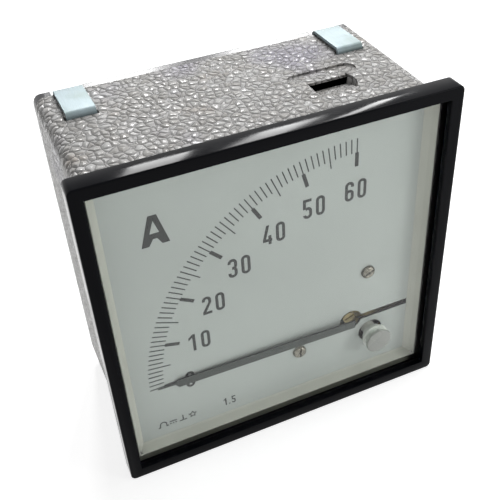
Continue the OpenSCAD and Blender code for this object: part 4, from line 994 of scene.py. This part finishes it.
class METER_OT_stage(bpy.types.Operator):
    """Sets the floor, the plain light and the camera"""

    bl_idname = "meter.stage"
    bl_label = "Stage"

    def execute(self, context):
        s = context.scene.meter_stage
        deselect()
        bpy.ops.mesh.primitive_plane_add(size=s.floor_size, location=(0, 0, CAD_BOX[0].z))
        floor = context.object
        floor.name = "floor"
        floor.data.materials.append(self.floor_finish(s.floor_glow))
        self.world(context.scene, s.ambient)
        soft_lamp("key", KEY_AT, (0, 0.02, 0), KEY_SIZE, s.key)
        soft_lamp("side", SIDE_AT, (0, 0, -0.01), SIDE_SIZE, s.side)
        for at, width in BAND_LAMPS:
            soft_lamp("band", at, BEZEL_TOP, width, s.band * width / BAND_WIDTH, BAND_HEIGHT)
        self.camera(context.scene, s.lens)
        context.scene.view_settings.view_transform = "Standard"
        return {"FINISHED"}

    def floor_finish(self, glow):
        """Pale matt floor that shows nearly white to the camera, in gloss and through glass."""
        made = Finish("pale_floor", roughness=0.8)
        grain = made.spread(made.noise(40, 2.0), 0.3, 0.7, 0.61, 0.63)
        made.set(Base_Color=made.grey(grain), Specular_IOR_Level=0.0)
        ray = made.add("LightPath", {}).outputs
        reflected = made.math("MAXIMUM", ray["Is Glossy Ray"], ray["Is Transmission Ray"])
        seen = made.math("MAXIMUM", ray["Is Camera Ray"], reflected)
        white = made.add(
            "Emission", {"Color": (1, 1, 1), "Strength": made.math("MULTIPLY", seen, glow)}
        )
        both = made.add("AddShader", {0: made.shader.outputs[0], 1: white.outputs[0]})
        made.feed(made.output.inputs["Surface"], both.outputs[0])
        return made.material

    def world(self, scene, ambient):
        """White surroundings to the camera, in gloss and through glass, and a plain dim light."""
        world = bpy.data.worlds.new("studio")
        world.use_nodes = True
        scene.world = world
        nodes, links = world.node_tree.nodes, world.node_tree.links
        back = nodes["Background"]
        back.inputs["Color"].default_value = (1, 1, 1, 1)
        path = nodes.new("ShaderNodeLightPath")
        seen = path.outputs["Is Camera Ray"]
        for other in ("Is Glossy Ray", "Is Transmission Ray"):
            either = nodes.new("ShaderNodeMath")
            either.operation = "MAXIMUM"
            links.new(seen, either.inputs[0])
            links.new(path.outputs[other], either.inputs[1])
            seen = either.outputs[0]
        strength = nodes.new("ShaderNodeMapRange")
        strength.inputs["To Min"].default_value = ambient
        strength.inputs["To Max"].default_value = 1.0
        links.new(seen, strength.inputs["Value"])
        links.new(strength.outputs["Result"], back.inputs["Strength"])

    def camera(self, scene, lens):
        """Camera above, in front and to the left of the meter."""
        data = bpy.data.cameras.new("camera")
        camera = bpy.data.objects.new("camera", data)
        scene.collection.objects.link(camera)
        data.lens = lens
        data.sensor_width = 36.0
        data.shift_x = CAMERA_SHIFT
        data.clip_start = 0.005
        forward = Vector(CAMERA_FORWARD).normalized()
        side = forward.cross(Vector(CAMERA_UP)).normalized()
        turn = Matrix((side, side.cross(forward), -forward)).transposed().to_4x4()
        camera.matrix_world = Matrix.Translation(CAMERA_AT) @ turn
        scene.camera = camera


OPERATORS = (
    METER_OT_case, METER_OT_bezel, METER_OT_clips, METER_OT_terminals, METER_OT_dial_screws,
    METER_OT_adjuster, METER_OT_front, METER_OT_movement, METER_OT_stage,
)


class METER_PT_sidebar(bpy.types.Panel):
    """Lists the meter's values and steps"""

    bl_label = "Panel Meter"
    bl_idname = "METER_PT_sidebar"
    bl_space_type = "VIEW_3D"
    bl_region_type = "UI"
    bl_category = "Panel Meter"

    def draw(self, context):
        """Draws the values group by group, then a button for each step."""
        for group in (getattr(context.scene, name) for name in GROUPS):
            box = self.layout.box()
            for name in group.bl_rna.properties.keys():
                if name not in ("rna_type", "name"):
                    box.prop(group, name)
        for operator in OPERATORS:
            self.layout.operator(operator.bl_idname)


GROUPS = {"meter_colours": MeterColours, "meter_trim": MeterTrim, "meter_stage": MeterStage}


def register():
    """Registers the classes and gives each scene its values."""
    for group in GROUPS.values():
        bpy.utils.register_class(group)
    for name, group in GROUPS.items():
        setattr(bpy.types.Scene, name, PointerProperty(type=group))
    for made in (*OPERATORS, METER_PT_sidebar):
        bpy.utils.register_class(made)


def unregister():
    """Takes the classes and values away again."""
    for made in (METER_PT_sidebar, *OPERATORS):
        bpy.utils.unregister_class(made)
    for name in GROUPS:
        delattr(bpy.types.Scene, name)
    for group in GROUPS.values():
        bpy.utils.unregister_class(group)


def main():
    """Registers the classes and builds everything in order."""
    register()
    for operator in OPERATORS:
        group, name = operator.bl_idname.split(".")
        getattr(getattr(bpy.ops, group), name)()


if __name__ == "__main__":
    main()
